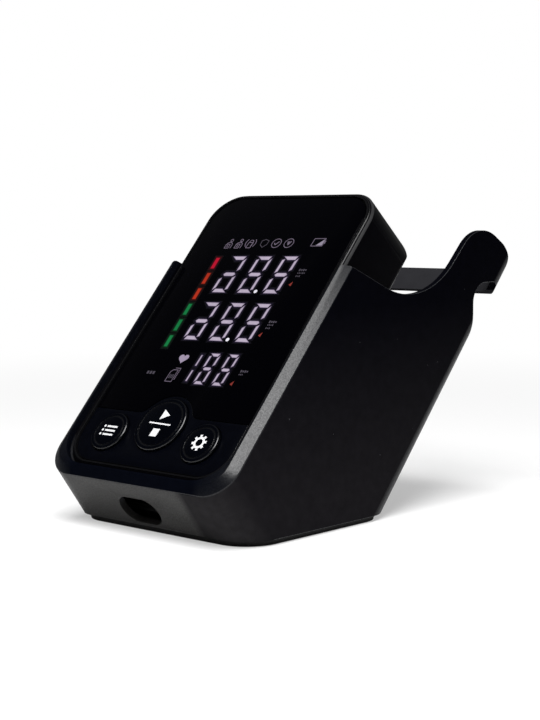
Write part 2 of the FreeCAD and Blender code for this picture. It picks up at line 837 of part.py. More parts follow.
def make_battery_cover():
    side = cover_width / 2
    strip = cover_outline(0, cover_bottom + cover_fit, 0)
    strip = strip.common(case_block(0, glass_level)).common(box(-side, side, 0, FAR, -FAR, 0))
    rails = [cover_rail(sign, 0, monitor_end - monitor_roll - cover_end) for sign in (-1, 1)]
    cover = join([strip] + rails)
    for i in range(grip_count):
        y = cover_bottom + grip_start + grip_pitch * i
        cover = cover.cut(rod(-grip_length / 2, y, back_z - grip_radius + grip_depth, grip_radius,
                              grip_length, (1, 0, 0)))
    return on_slope(solid_of(cover))


def foot_places():
    x = monitor_half - foot_side
    return [(px, py) for px in (-x, x) for py in (monitor_foot + foot_end, monitor_end - foot_end)]


def make_monitor_feet():
    low = back_z - foot_proud
    return on_slope(group([rod(x, y, low, foot_radius, foot_height) for x, y in foot_places()]))


def speaker_place():
    return monitor_half - case_wall - speaker_radius - speaker_side, monitor_foot + speaker_up


def speaker_holes():
    cx, cy = speaker_place()
    holes = [(cx, cy)]
    for i in range(6):
        angle = math.pi / 3 * i
        holes.append((cx + speaker_ring * math.cos(angle), cy + speaker_ring * math.sin(angle)))
    return holes


# ---------------------------------------------------------------- front frame, window and panel
def window_edge():
    """Outline of the window and panel together: half-width, lower end, upper end, corner."""
    inset = bezel_inset + seam + bezel_ring + bezel_groove
    return (monitor_half - inset, monitor_foot + inset, monitor_end - inset, monitor_corner - inset)


def panel_region(z0, z1, grow):
    """The button panel's area with its bump round the start button, made larger by grow."""
    radius = panel_bump + grow
    top = panel_top + grow
    block = box(-FAR, FAR, -FAR, top, z0, z1)
    bump = rod(button_side, start_y, z0, radius, z1 - z0)
    region = block.fuse(bump)
    rise = top - start_y
    blend = bump_blend - grow
    run = math.sqrt((radius + blend) ** 2 - (rise + blend) ** 2)
    for sign in (-1, 1):
        cx = button_side + sign * run
        cy = top + blend
        wedge = box(min(button_side, cx), max(button_side, cx), start_y,
                    start_y + (rise + blend) * radius / (radius + blend), z0, z1)
        region = region.fuse(wedge.cut(rod(cx, cy, z0 - PAST, blend, z1 - z0 + 2 * PAST)))
    return region.removeSplitter()


def button_places():
    """Name, centre and radius of each button."""
    return [
        ("start_button", button_side, start_y, start_radius),
        ("memory_button", button_side - side_button_x, side_button_y, side_button_radius),
        ("settings_button", button_side + side_button_x, side_button_y, side_button_radius),
    ]


def make_window():
    half, y0, y1, corner = window_edge()
    pane = slab(-half, half, y0, y1, frame_top, glass_level, corner)
    pane = pane.cut(panel_region(frame_top - PAST, glass_level + PAST, seam))
    return on_slope(solid_of(pane))


def make_panel():
    half, y0, y1, corner = window_edge()
    top = glass_level - panel_drop
    panel = slab(-half, half, y0, y1, frame_top, top, corner)
    panel = panel.common(panel_region(frame_top - PAST, glass_level + PAST, 0))
    for _, x, y, radius in button_places():
        panel = panel.cut(rod(x, y, frame_top - PAST, radius + button_fit, FAR))
    return on_slope(solid_of(panel))


def make_front_frame():
    inset = bezel_inset + seam
    half = monitor_half - inset
    y0 = monitor_foot + inset
    y1 = monitor_end - inset
    corner = monitor_corner - inset
    frame = slab(-half, half, y0, y1, frame_back, glass_level + bezel_ring_rise, corner)
    frame = frame.cut(slab(-half + bezel_ring, half - bezel_ring, y0 + bezel_ring, y1 - bezel_ring,
                           frame_top, glass_level + PAST, corner - bezel_ring))
    low = frame_back - skirt_depth

    def skirt_slab(inset_by, z0, z1):
        return slab(-half + inset_by, half - inset_by, y0 + inset_by, y1 - inset_by, z0, z1,
                    corner - inset_by)

    skirt = skirt_slab(skirt_gap, low, frame_back)
    skirt = skirt.cut(skirt_slab(skirt_gap + skirt_wall, low - PAST, frame_back + PAST))
    frame = frame.fuse(skirt)
    frame = frame.cut(slab(display_left, display_right, display_bottom, display_top,
                           low - PAST, glass_level + PAST, display_corner))
    for _, x, y, radius in button_places():
        frame = frame.cut(rod(x, y, frame_back - PAST, radius + button_fit, FAR))
    for x, y in case_posts():
        frame = frame.fuse(rod(x, y, post_meet, case_post, post_length))
        frame = frame.cut(rod(x, y, post_meet - PAST, screw_radius + pilot_fit, post_length))
    for x, y in board_posts():
        frame = frame.fuse(ring(x, y, board_z, board_post, board_screw + pilot_fit, board_gap))
    return on_slope(solid_of(frame.removeSplitter()))


def make_button(x, y, radius):
    """A domed cap with a rim groove, a retaining flange below the frame and a stem."""
    top = glass_level + button_rise
    low = frame_back - button_flange - seat_fit
    body = rod(x, y, low, radius, top - low)
    edge = [e for e in body.Edges if e.BoundBox.ZMin > top - NEAR]
    body = body.makeFillet(button_round, edge)
    line = radius - rim_line
    body = body.cut(ring(x, y, top - rim_line_depth, line, line - rim_line_width, PAST))
    body = body.fuse(rod(x, y, low, radius + button_fit + button_lip, button_flange))
    roof = top - button_roof
    body = body.cut(rod(x, y, low - PAST, radius - button_wall, roof - low + PAST))
    stem_low = board_z + keypad_height + dome_height + button_travel + stem_gap
    stem = rod(x, y, stem_low, button_stem, roof + PAST - stem_low)
    return on_slope(solid_of(body.fuse(stem).removeSplitter()))


def make_keypad():
    """Silicone sheet with one dome under each button."""
    xs = [x for _, x, _, _ in button_places()]
    ys = [y for _, _, y, _ in button_places()]
    sheet = slab(min(xs) - keypad_side, max(xs) + keypad_side, min(ys) - keypad_below,
                 max(ys) + keypad_above, board_z, board_z + keypad_height, keypad_corner)
    for _, x, y, _ in button_places():
        dome = Part.makeCone(dome_radius, dome_radius - dome_taper, dome_height,
                             V(x, y, board_z + keypad_height), V(0, 0, 1))
        sheet = sheet.fuse(dome)
    return on_slope(solid_of(sheet.removeSplitter()))


# ---------------------------------------------------------------- display
def leaning_plate(x, y, corners, z0, z1):
    """A flat piece with the given (x, y) corners, which leans to the right like the digits."""
    lean = math.tan(math.radians(segment_slant))
    points = [V(x + a + b * lean, y + b, z0) for a, b in corners]
    return Part.Face(Part.makePolygon(points + points[:1])).extrude(V(0, 0, z1 - z0))


def digit_segments(width, height):
    """Corners of a digit's seven segments: the upper left one first, the middle one last."""
    size = height / big_digit_height
    bar = segment_bar * size
    side = segment_side * size
    gap = segment_gap * size
    mid = height / 2
    left = [(0, mid + gap), (side, mid + bar / 2 + gap), (side, height - bar / 2 - gap / 2),
            (0, height - bar)]
    top = [(0, height), (width - gap, height), (width - gap - side / 2, height - bar),
           (bar + gap, height - bar)]
    right = [(width, height - bar / 2), (width - side, height - bar - gap),
             (width - side, mid + bar / 2 + gap), (width, mid + bar + gap)]
    upper = [left, top, right]
    lower = [[(width - a, height - b) for a, b in segment] for segment in upper]
    middle = [(gap, mid), (gap + bar / 2, mid + bar / 2), (width - gap - bar / 2, mid + bar / 2),
              (width - gap, mid), (width - gap - bar / 2, mid - bar / 2),
              (gap + bar / 2, mid - bar / 2)]
    return upper + lower + [middle]


def light_pieces(z0, z1):
    """Every lit shape of the display: digits, decimal points and level bars."""
    pieces = []
    for row in (row_one_y, row_two_y):
        for i in range(3):
            segments = digit_segments(big_digit_width, big_digit_height)
            if i == 0:
                segments = segments[1:]         # hundreds do without the upper left segment
            x = digits_left + i * big_digit_pitch
            pieces += [leaning_plate(x, row, corners, z0, z1) for corners in segments]
        pieces.append(rod(digits_left + 2 * big_digit_pitch - point_left, row + point_radius, z0,
                          point_radius, z1 - z0))
    for i in range(2):
        x = small_digits_left + i * small_digit_pitch
        pieces += [leaning_plate(x, row_three_y, corners, z0, z1)
                   for corners in digit_segments(small_digit_width, small_digit_height)]
    half = small_digit_height / 2
    for low in (one_end, half + one_end):
        high = low + half - 2 * one_end
        pieces.append(leaning_plate(one_left, row_three_y, [(0, low), (one_width, low),
                                                            (one_width, high), (0, high)], z0, z1))
    for i in range(bar_count):
        low = i * bar_pitch
        high = low + bar_height
        pieces.append(leaning_plate(bar_x, bar_bottom, [(0, low), (bar_width, low),
                                                        (bar_width, high), (0, high)], z0, z1))
    return pieces


def make_light_guide():
    """The reflector block between the board and the window, with a cell behind every segment."""
    z0 = board_z + touch_gap
    z1 = frame_top - guide_drop
    block = slab(display_left + guide_side_fit, display_right - guide_side_fit,
                 display_bottom + guide_side_fit, display_top - guide_side_fit, z0, z1,
                 display_corner - guide_side_fit)
    cells = group(light_pieces(z0 - PAST, z1 + PAST))
    return on_slope(solid_of(block.cut(cells)))


def make_light_segments():
    """The clear diffusers that fill the reflector's cells and light up."""
    z1 = frame_top - guide_drop
    return on_slope(group(light_pieces(z1 - cell_depth, z1 - touch_gap)))


def make_display_board():
    board = slab(-board_half, board_half, board_low, monitor_end - board_end, board_back, board_z,
                 board_corner)
    return board_holes(board)


def make_display_leds():
    """One small lamp on the board in the middle of each of the reflector's cells."""
    half = lamp_size / 2
    lamps = []
    for piece in light_pieces(board_z, board_z + lamp_height):
        middle = piece.CenterOfMass
        lamps.append(box(middle.x - half, middle.x + half, middle.y - half, middle.y + half,
                         board_z, board_z + lamp_height))
    return on_slope(group(lamps))


# ---------------------------------------------------------------- electronics
def board_posts():
    """Places of the short posts on the front frame that the two boards are screwed to."""
    x = board_half - board_post_side
    heights = [display_bottom + spot for spot in board_post_spots] + [display_top - board_post_top]
    return [(px, py) for px in (-x, x) for py in heights]


def make_board_screws():
    low = board_back - board_screw_height
    length = board_thickness + board_gap - board_screw_end
    return on_slope(group([
        cross_screw(x, y, low, board_screw_head, board_screw_height, board_screw, length)
        for x, y in board_posts()]))


def cross_screw(x, y, low, head_radius, head_height, radius, length):
    """A screw pointing up z with a cross recess in its head, which starts at z = low."""
    head = rod(x, y, low, head_radius, head_height)
    shank = rod(x, y, low + head_height - LAP, radius, length)
    reach = head_radius * cross_reach
    half = head_radius * cross_half
    depth = low + head_height * cross_depth
    slot = box(x - reach, x + reach, y - half, y + half, low - PAST, depth)
    cross = slot.fuse(box(x - half, x + half, y - reach, y + reach, low - PAST, depth))
    return solid_of(head.fuse(shank).cut(cross))


def board_holes(board):
    """Cut a board's clearance for the case posts and its screw holes."""
    depth = board_thickness + 2 * PAST
    for x, y in case_posts():
        board = board.cut(rod(x, y, board_back - PAST, case_post + board_fit, depth))
    for x, y in board_posts():
        board = board.cut(rod(x, y, board_back - PAST, board_screw + screw_fit, depth))
    return on_slope(solid_of(board))


def make_main_board():
    board = slab(-board_half, board_half, monitor_foot + board_start, board_low - board_split,
                 board_back, board_z, board_corner)
    return board_holes(board)


def chip(x, y, width, length, height):
    """A chip on the back of the main board with gull-wing legs down two sides."""
    body = box(x - width / 2, x + width / 2, y - length / 2, y + length / 2,
               board_back - height, board_back - chip_gap)
    legs = []
    count = int(length // pin_pitch)
    for sign in (-1, 1):
        lx = x + sign * (width / 2 + pin_length / 2 - LAP)
        for i in range(count):
            ly = y + (i - (count - 1) / 2) * pin_pitch
            legs.append(box(lx - pin_length / 2, lx + pin_length / 2, ly - pin_width / 2,
                            ly + pin_width / 2, board_back - pin_width, board_back))
    return join([body] + legs)


def make_chips():
    return on_slope(group([chip(x, chip_y, *size) for x, size in zip(chip_x, chip_sizes)]))


def make_pressure_sensor():
    """The sensor stands on the board's back with its nozzle towards the manifold."""
    x = socket_x - sensor_away
    side = sensor_side
    body = box(x - side, x + side, valve_y - side, valve_y + side, port_z - sensor_below, board_back)
    nozzle = rod(x + side - LAP, valve_y, port_z, nozzle_radius, nozzle_length + LAP, (1, 0, 0))
    hole = rod(x + side / 2, valve_y, port_z, air_hole, FAR, (1, 0, 0))
    return on_slope(solid_of(body.fuse(nozzle).cut(hole)))


def make_speaker():
    x, y = speaker_place()
    low = inside_z + seat_fit
    top = low + speaker_height
    can = rod(x, y, low, speaker_radius, speaker_height)
    can = can.fuse(rod(x, y, top - LAP, speaker_magnet, speaker_magnet_height + LAP))
    mouth = rod(x, y, low - PAST, speaker_radius - speaker_rim, PAST + speaker_recess)
    return on_slope(can.cut(mouth))


def usb_block(grow, y0, y1):
    """The socket's flat oval section between two distances up the slope."""
    w = usb_width / 2 + grow
    h = usb_height / 2 + grow
    corner = h - oval_flat
    corners = [(-w, -h, corner), (w, -h, corner), (w, h, corner), (-w, h, corner)]
    wire = rounded_path(corners, lambda a, b: V(usb_x + a, y0, port_z + b))
    return Part.Face(wire).extrude(V(0, y1 - y0, 0))


def make_usb_socket():
    """A metal shell with a closed end, a contact tongue and two legs up to the board."""
    start = monitor_foot + usb_sink
    end = start + usb_depth
    shell = usb_block(0, start, end)
    shell = shell.cut(usb_block(-usb_wall, start - PAST, end - usb_end))
    tongue = box(usb_x - usb_tongue_half, usb_x + usb_tongue_half, start + PAST, end - LAP,
                 port_z - usb_tongue / 2, port_z + usb_tongue / 2)
    low = port_z + usb_height / 2 - LAP
    half = usb_leg / 2
    legs = [box(x - half, x + half, end - usb_end - usb_leg, end - usb_end, low, board_back)
            for x in (usb_x - usb_tongue_half, usb_x + usb_tongue_half)]
    return on_slope(solid_of(join([shell, tongue] + legs)))


# ---------------------------------------------------------------- air system
def make_air_socket():
    """The flanged socket that takes the cuff hose's plug."""
    start = monitor_foot + socket_sink
    along = (0, 1, 0)
    flange = start + case_wall + seat_fit - socket_sink
    body = rod(socket_x, start, port_z, socket_radius, socket_front, along)
    body = body.fuse(rod(socket_x, flange, port_z, socket_radius + socket_flange, case_wall, along))
    body = body.fuse(rod(socket_x, start, port_z, socket_bore + socket_wall,
                         socket_depth + socket_wall, along))
    body = body.fuse(rod(socket_x, start + socket_depth, port_z, nozzle_radius,
                         socket_wall + nozzle_length, along))
    body = body.cut(rod(socket_x, start - PAST, port_z, socket_bore, socket_depth + PAST, along))
    body = body.cut(rod(socket_x, start, port_z, air_hole, FAR, along))
    return on_slope(solid_of(body))


def make_pump_motor():
    along = (1, 0, 0)
    can = rod(pump_x, pump_y, pump_z, pump_radius, pump_motor_length, along)
    edges = [e for e in can.Edges if e.BoundBox.XMax < pump_x + NEAR]
    can = can.makeFillet(motor_round, edges)
    boss = rod(pump_x - motor_boss_length, pump_y, pump_z, motor_boss, motor_boss_length + LAP, along)
    shaft = rod(pump_x + pump_motor_length - LAP, pump_y, pump_z, motor_shaft,
                motor_shaft_length + LAP, along)
    return on_slope(join([can, boss, shaft]))


def make_pump_head():
    along = (1, 0, 0)
    start = pump_x + pump_motor_length
    radius = pump_radius + head_step
    head = rod(start, pump_y, pump_z, radius, pump_head_length, along)
    for place in head_grooves:
        head = head.cut(ring(start + place, pump_y, pump_z, radius + PAST, radius - head_groove,
                             head_groove, along))
    head = head.cut(rod(start - PAST, pump_y, pump_z, motor_shaft + seat_fit,
                        PAST + motor_shaft_length + seat_fit, along))
    outlet = rod(head_end - LAP, pump_y, port_z, nozzle_radius, nozzle_length + LAP, along)
    return on_slope(join([head, outlet]))


def make_pump_saddle():
    """Foam-lined saddle that the pump lies in on the rear housing's floor."""
    start = pump_x + saddle_start
    block = box(start, start + saddle_length, pump_y - saddle_half, pump_y + saddle_half,
                inside_z + touch_gap, pump_z - saddle_drop)
    bed = rod(start - PAST, pump_y, pump_z, pump_radius + pilot_fit, saddle_length + 2 * PAST,
              (1, 0, 0))
    return on_slope(solid_of(block.cut(bed)))


def make_release_valve():
    """Solenoid valve: a coil in a steel bracket that stands on the case floor, and a nozzle."""
    along = (1, 0, 0)
    z = port_z - valve_drop
    half = valve_radius + valve_frame
    end = valve_x + valve_length
    low = inside_z + touch_gap
    coil = rod(valve_x, valve_y, z, valve_radius, valve_length - LAP, along)
    floor = box(valve_x, end, valve_y - half, valve_y + half, low, low + valve_plate)
    ends = [box(x, x + valve_plate, valve_y - half, valve_y + half, low, z + half)
            for x in (valve_x, end - valve_plate)]
    nozzle = rod(valve_x - nozzle_length, valve_y, port_z, nozzle_radius, nozzle_length + LAP, along)
    hole = rod(valve_x - nozzle_length - PAST, valve_y, port_z, air_hole, nozzle_length + PAST, along)
    return on_slope(solid_of(join([coil, floor, nozzle] + ends).cut(hole)))


def make_air_manifold():
    """Four-way block between the socket, the pump, the valve and the pressure sensor."""
    x = socket_x
    side = manifold_half
    low = valve_y - manifold_past
    high = branch_y + manifold_past
    block = box(x - side, x + side, low, high, port_z - manifold_rise, port_z + manifold_rise)
    block = block.makeFillet(manifold_round,
                             [e for e in block.Edges if e.BoundBox.ZLength > manifold_rise])
    foot = inside_z + touch_gap
    leg = rod(x, high - 2 * manifold_leg, foot, manifold_leg, port_z - manifold_rise + LAP - foot)
    body = block.fuse(leg)
    arms = [((x + side, valve_y), (1, 0, 0)), ((x - side, valve_y), (-1, 0, 0)),
            ((x + side, branch_y), (1, 0, 0))]
    body = body.fuse(rod(x, low + LAP, port_z, nozzle_radius, nozzle_length + LAP, (0, -1, 0)))
    for (ax, ay), axis in arms:
        start = ax - axis[0] * LAP
        body = body.fuse(rod(start, ay, port_z, nozzle_radius, nozzle_length + LAP, axis))
    body = body.cut(rod(x, branch_y + manifold_bore, port_z, manifold_bore, FAR, (0, -1, 0)))
    for (ax, ay), axis in arms:
        body = body.cut(rod(ax - axis[0] * side, ay, port_z, air_hole, FAR, axis))
    return on_slope(solid_of(body))


def straight_tube(x, y, length, axis):
    """A short tube pushed over a nozzle at each end."""
    return ring(x, y, port_z, tube_radius, nozzle_radius, length, axis)


def bent_tube(points):
    """A tube through straight runs joined by tangent arcs as large as the runs allow."""
    edges = []
    last = V(*points[0])
    for i in range(1, len(points) - 1):
        here = V(*points[i])
        back = V(*points[i - 1]).sub(here)
        ahead = V(*points[i + 1]).sub(here)
        reach = bend_share * min(back.Length, ahead.Length)
        half = back.getAngle(ahead) / 2
        back.normalize()
        ahead.normalize()
        radius = reach * math.tan(half)
        middle = here + (back + ahead).normalize() * (radius / math.sin(half) - radius)
        edges.append(Part.LineSegment(last, here + back * reach).toShape())
        edges.append(Part.Arc(here + back * reach, middle, here + ahead * reach).toShape())
        last = here + ahead * reach
    edges.append(Part.LineSegment(last, V(*points[-1])).toShape())
    path = Part.Wire(edges)
    start = V(*points[0])
    along = V(*points[1]).sub(start)
    shapes = []
    for radius in (tube_radius, nozzle_radius):
        section = Part.Wire(Part.makeCircle(radius, start, along).Edges)
        shapes.append(path.makePipeShell([section], True, False))
    return shapes[0].cut(shapes[1])


def make_air_tubes():
    """Silicone tubes from the manifold to the socket, the valve, the sensor and the pump."""
    side = socket_x + manifold_half + tube_gap
    low = valve_y - manifold_past
    sensor_end = socket_x - sensor_away + sensor_side + tube_gap
    socket_end = monitor_foot + socket_sink + socket_depth + socket_wall + tube_gap
    sensor_run = sensor_away - manifold_half - sensor_side - 2 * tube_gap
    tubes = [
        straight_tube(socket_x, socket_end, low - socket_end - tube_gap, (0, 1, 0)),
        straight_tube(side, valve_y, valve_x - side - tube_gap, (1, 0, 0)),
        straight_tube(sensor_end, valve_y, sensor_run, (1, 0, 0)),
        bent_tube([(side, branch_y, port_z), (turn_x, branch_y, port_z),
                   (turn_x, pump_y, port_z), (head_end + tube_gap, pump_y, port_z)]),
    ]
    return on_slope(group(tubes))


# ---------------------------------------------------------------- batteries
def cell_places():
    """How far up the slope each cell lies, and which way its nub points along x."""
    first = bay_bottom + cell_gap + cell_pitch / 2
    return [(first + i * cell_pitch, 1 if i % 2 == 0 else -1) for i in range(cell_count)]


def make_battery_cells():
    cells = []
    for y, way in cell_places():
        along = (way, 0, 0)
        x0 = -way * cell_length / 2
        length = cell_length - cell_nub_length
        body = rod(x0, y, cell_z, cell_radius, length, along)
        body = body.makeFillet(cell_round, [e for e in body.Edges if isinstance(e.Curve, Part.Circle)])
        nub = rod(x0 + way * (length - LAP), y, cell_z, cell_nub_radius, cell_nub_length + LAP, along)
        cells.append(body.fuse(nub))
    return on_slope(group(cells))


def spring_coil(length):
    """A coil from z = 0 to length, as half turns that each climb the same rise."""
    rise = (length - 2 * spring_wire) / spring_half_turns
    turns = []
    for i in range(spring_half_turns):
        side = 1 if i % 2 == 0 else -1
        low = spring_wire + i * rise
        circle = Part.makeCircle(spring_wire, V(side * spring_radius, 0, low), V(0, 1, 0))
        axis = V(side * rise, 0, 2 * spring_radius)
        section = Part.Face(Part.Wire([circle]))
        turns.append(section.revolve(V(0, 0, low + rise / 2), axis, 180))
    return join(turns)


def make_battery_springs():
    """Coil springs on the bay wall against the flat end of each cell."""
    plate = bay_half - contact_thickness
    coil = spring_coil(plate - cell_length / 2 - 2 * touch_gap)
    springs = []
    for y, way in cell_places():
        spring = coil.copy()
        spring.Placement = FreeCAD.Placement(V(-way * (plate - touch_gap), y, cell_z),
                                             FreeCAD.Rotation(V(0, 0, 1), V(way, 0, 0)))
        springs.append(spring)
    return on_slope(group(springs))


def make_battery_contacts():
    """Plates on both bay walls; each carries a spring on one side and a dimple on the other."""
    inner = bay_half - contact_thickness
    outer = bay_half - touch_gap
    plates = []
    for y, way in cell_places():
        for side in (-1, 1):
            plate = box(min(side * inner, side * outer), max(side * inner, side * outer),
                        y - contact_half, y + contact_half, cell_z - contact_half,
                        cell_z + contact_half)
            if side == way:
                dimple = Part.makeCone(dimple_radius, dimple_end, inner - cell_length / 2 + LAP - seat_fit,
                                       V(way * (inner + LAP), y, cell_z), V(-way, 0, 0))
                plate = plate.fuse(dimple)
            plates.append(plate)
    return on_slope(group(plates))


# ---------------------------------------------------------------- fasteners
def make_case_screws():
    low = back_z + screw_seat
    return on_slope(group([
        cross_screw(x, y, low, screw_head, screw_head_height, screw_radius, case_screw_length)
        for x, y in case_posts()]))


def main():
    os.makedirs("parts", exist_ok=True)
    export("dock_shell", make_dock_shell())
    export("cradle_tray", make_cradle_tray())
    export("dock_base_plate", make_base_plate())
    export("base_pad", make_base_pad())
    export("dock_screws", make_dock_screws())
    export("rear_housing", make_rear_housing())
    export("front_frame", make_front_frame())
    export("display_window", make_window())
    export("button_panel", make_panel())
    for name, x, y, radius in button_places():
        export(name, make_button(x, y, radius))
    export("keypad", make_keypad())
    export("light_guide", make_light_guide())
    export("light_segments", make_light_segments())
    export("display_board", make_display_board())
    export("display_leds", make_display_leds())
    export("main_board", make_main_board())
    export("board_chips", make_chips())
    export("pressure_sensor", make_pressure_sensor())
    export("speaker", make_speaker())
    export("usb_socket", make_usb_socket())
    export("air_socket", make_air_socket())
    export("pump_motor", make_pump_motor())
    export("pump_head", make_pump_head())
    export("pump_saddle", make_pump_saddle())
    export("release_valve", make_release_valve())
    export("air_manifold", make_air_manifold())
    export("air_tubes", make_air_tubes())
    export("battery_cells", make_battery_cells())
    export("battery_springs", make_battery_springs())
    export("battery_contacts", make_battery_contacts())
    export("battery_cover", make_battery_cover())
    export("monitor_feet", make_monitor_feet())
    export("case_screws", make_case_screws())
    export("board_screws", make_board_screws())


main()
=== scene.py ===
import json
import logging
import math
from dataclasses import dataclass, field
from enum import Enum
from typing import Iterable, Sequence

import bmesh
import bpy
from mathutils import Matrix, Vector


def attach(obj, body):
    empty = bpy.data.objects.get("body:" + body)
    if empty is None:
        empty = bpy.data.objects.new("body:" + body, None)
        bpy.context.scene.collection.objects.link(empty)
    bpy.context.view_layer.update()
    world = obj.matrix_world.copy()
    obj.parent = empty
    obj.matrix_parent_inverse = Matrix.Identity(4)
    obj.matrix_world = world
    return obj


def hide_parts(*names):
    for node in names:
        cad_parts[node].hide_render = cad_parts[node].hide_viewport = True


# Looks of an upper-arm blood pressure monitor that stands in its desk dock.
# Metres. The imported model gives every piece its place; this script gives each one its finish, softens
# the moulded edges, and adds the lit display, the printed pictograms, the floor, light and camera.

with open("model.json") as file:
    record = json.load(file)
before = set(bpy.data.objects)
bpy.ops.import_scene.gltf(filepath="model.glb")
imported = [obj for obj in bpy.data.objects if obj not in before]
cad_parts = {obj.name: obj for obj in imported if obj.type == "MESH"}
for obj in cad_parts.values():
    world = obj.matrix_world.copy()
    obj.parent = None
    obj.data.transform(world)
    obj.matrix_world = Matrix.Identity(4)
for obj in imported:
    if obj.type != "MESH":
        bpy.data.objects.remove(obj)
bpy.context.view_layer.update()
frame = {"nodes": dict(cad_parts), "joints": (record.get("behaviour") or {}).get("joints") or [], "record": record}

MM = 0.001
SKIN_WELD = 0.0005 * MM
ART_WELD = 0.0002 * MM
EDGE = "edge"
CORE = "core"
LOG = logging.getLogger("monitor")
Colour = tuple[float, float, float]
Point = tuple[float, float]
Point3 = tuple[float, float, float]
Stroke = tuple[float, float, float, float]
Value = bpy.types.NodeSocket | float
Tint = bpy.types.NodeSocket | Colour


# ---------------------------------------------------------------- the sloping face
@dataclass(frozen=True)
class SlopingFace:
    """The monitor's face: x across, y up the slope from the dock's nose, z out of the glass."""

    origin: Vector
    up: Vector
    out: Vector

    @classmethod
    def from_frame(cls, end_to_nose: float) -> "SlopingFace":
        """Read the face from the joints and the case.

        Args:
            end_to_nose: Distance from the dock's nose to the monitor's lower end.

        Returns:
            The face with its origin on the nose line, at the level of the glass.
        """
        axes = {joint["name"]: Vector(joint["axis"]) for joint in frame["joints"]}
        up = axes["monitor_lift"].normalized()
        out = -axes["start_press"].normalized()
        glass = max(vertex.co.dot(out) for vertex in frame["nodes"]["display_window"].data.vertices)
        end = min(vertex.co.dot(up) for vertex in frame["nodes"]["rear_housing"].data.vertices)
        return cls(up * (end - end_to_nose) + out * glass, up, out)

    def matrix(self) -> Matrix:
        """Turn the face's own place into the part's.

        Returns:
            The transform from the face's x, y, z.
        """
        across = self.up.cross(self.out)
        turn = Matrix((across, self.up, self.out)).transposed().to_4x4()
        return Matrix.Translation(self.origin) @ turn


# The face frame is read once, because finishes and prints are both placed by it.
FACE = SlopingFace.from_frame(4.5 * MM)


# ---------------------------------------------------------------- shared surface effects
class Effect(Enum):
    """Shader node groups that several finishes share."""

    GRAIN = "mould_grain"
    SPECKS = "dust_specks"
    BRUSH = "brushed_lines"
    HAZE = "finger_haze"
    BAND = "level_band"


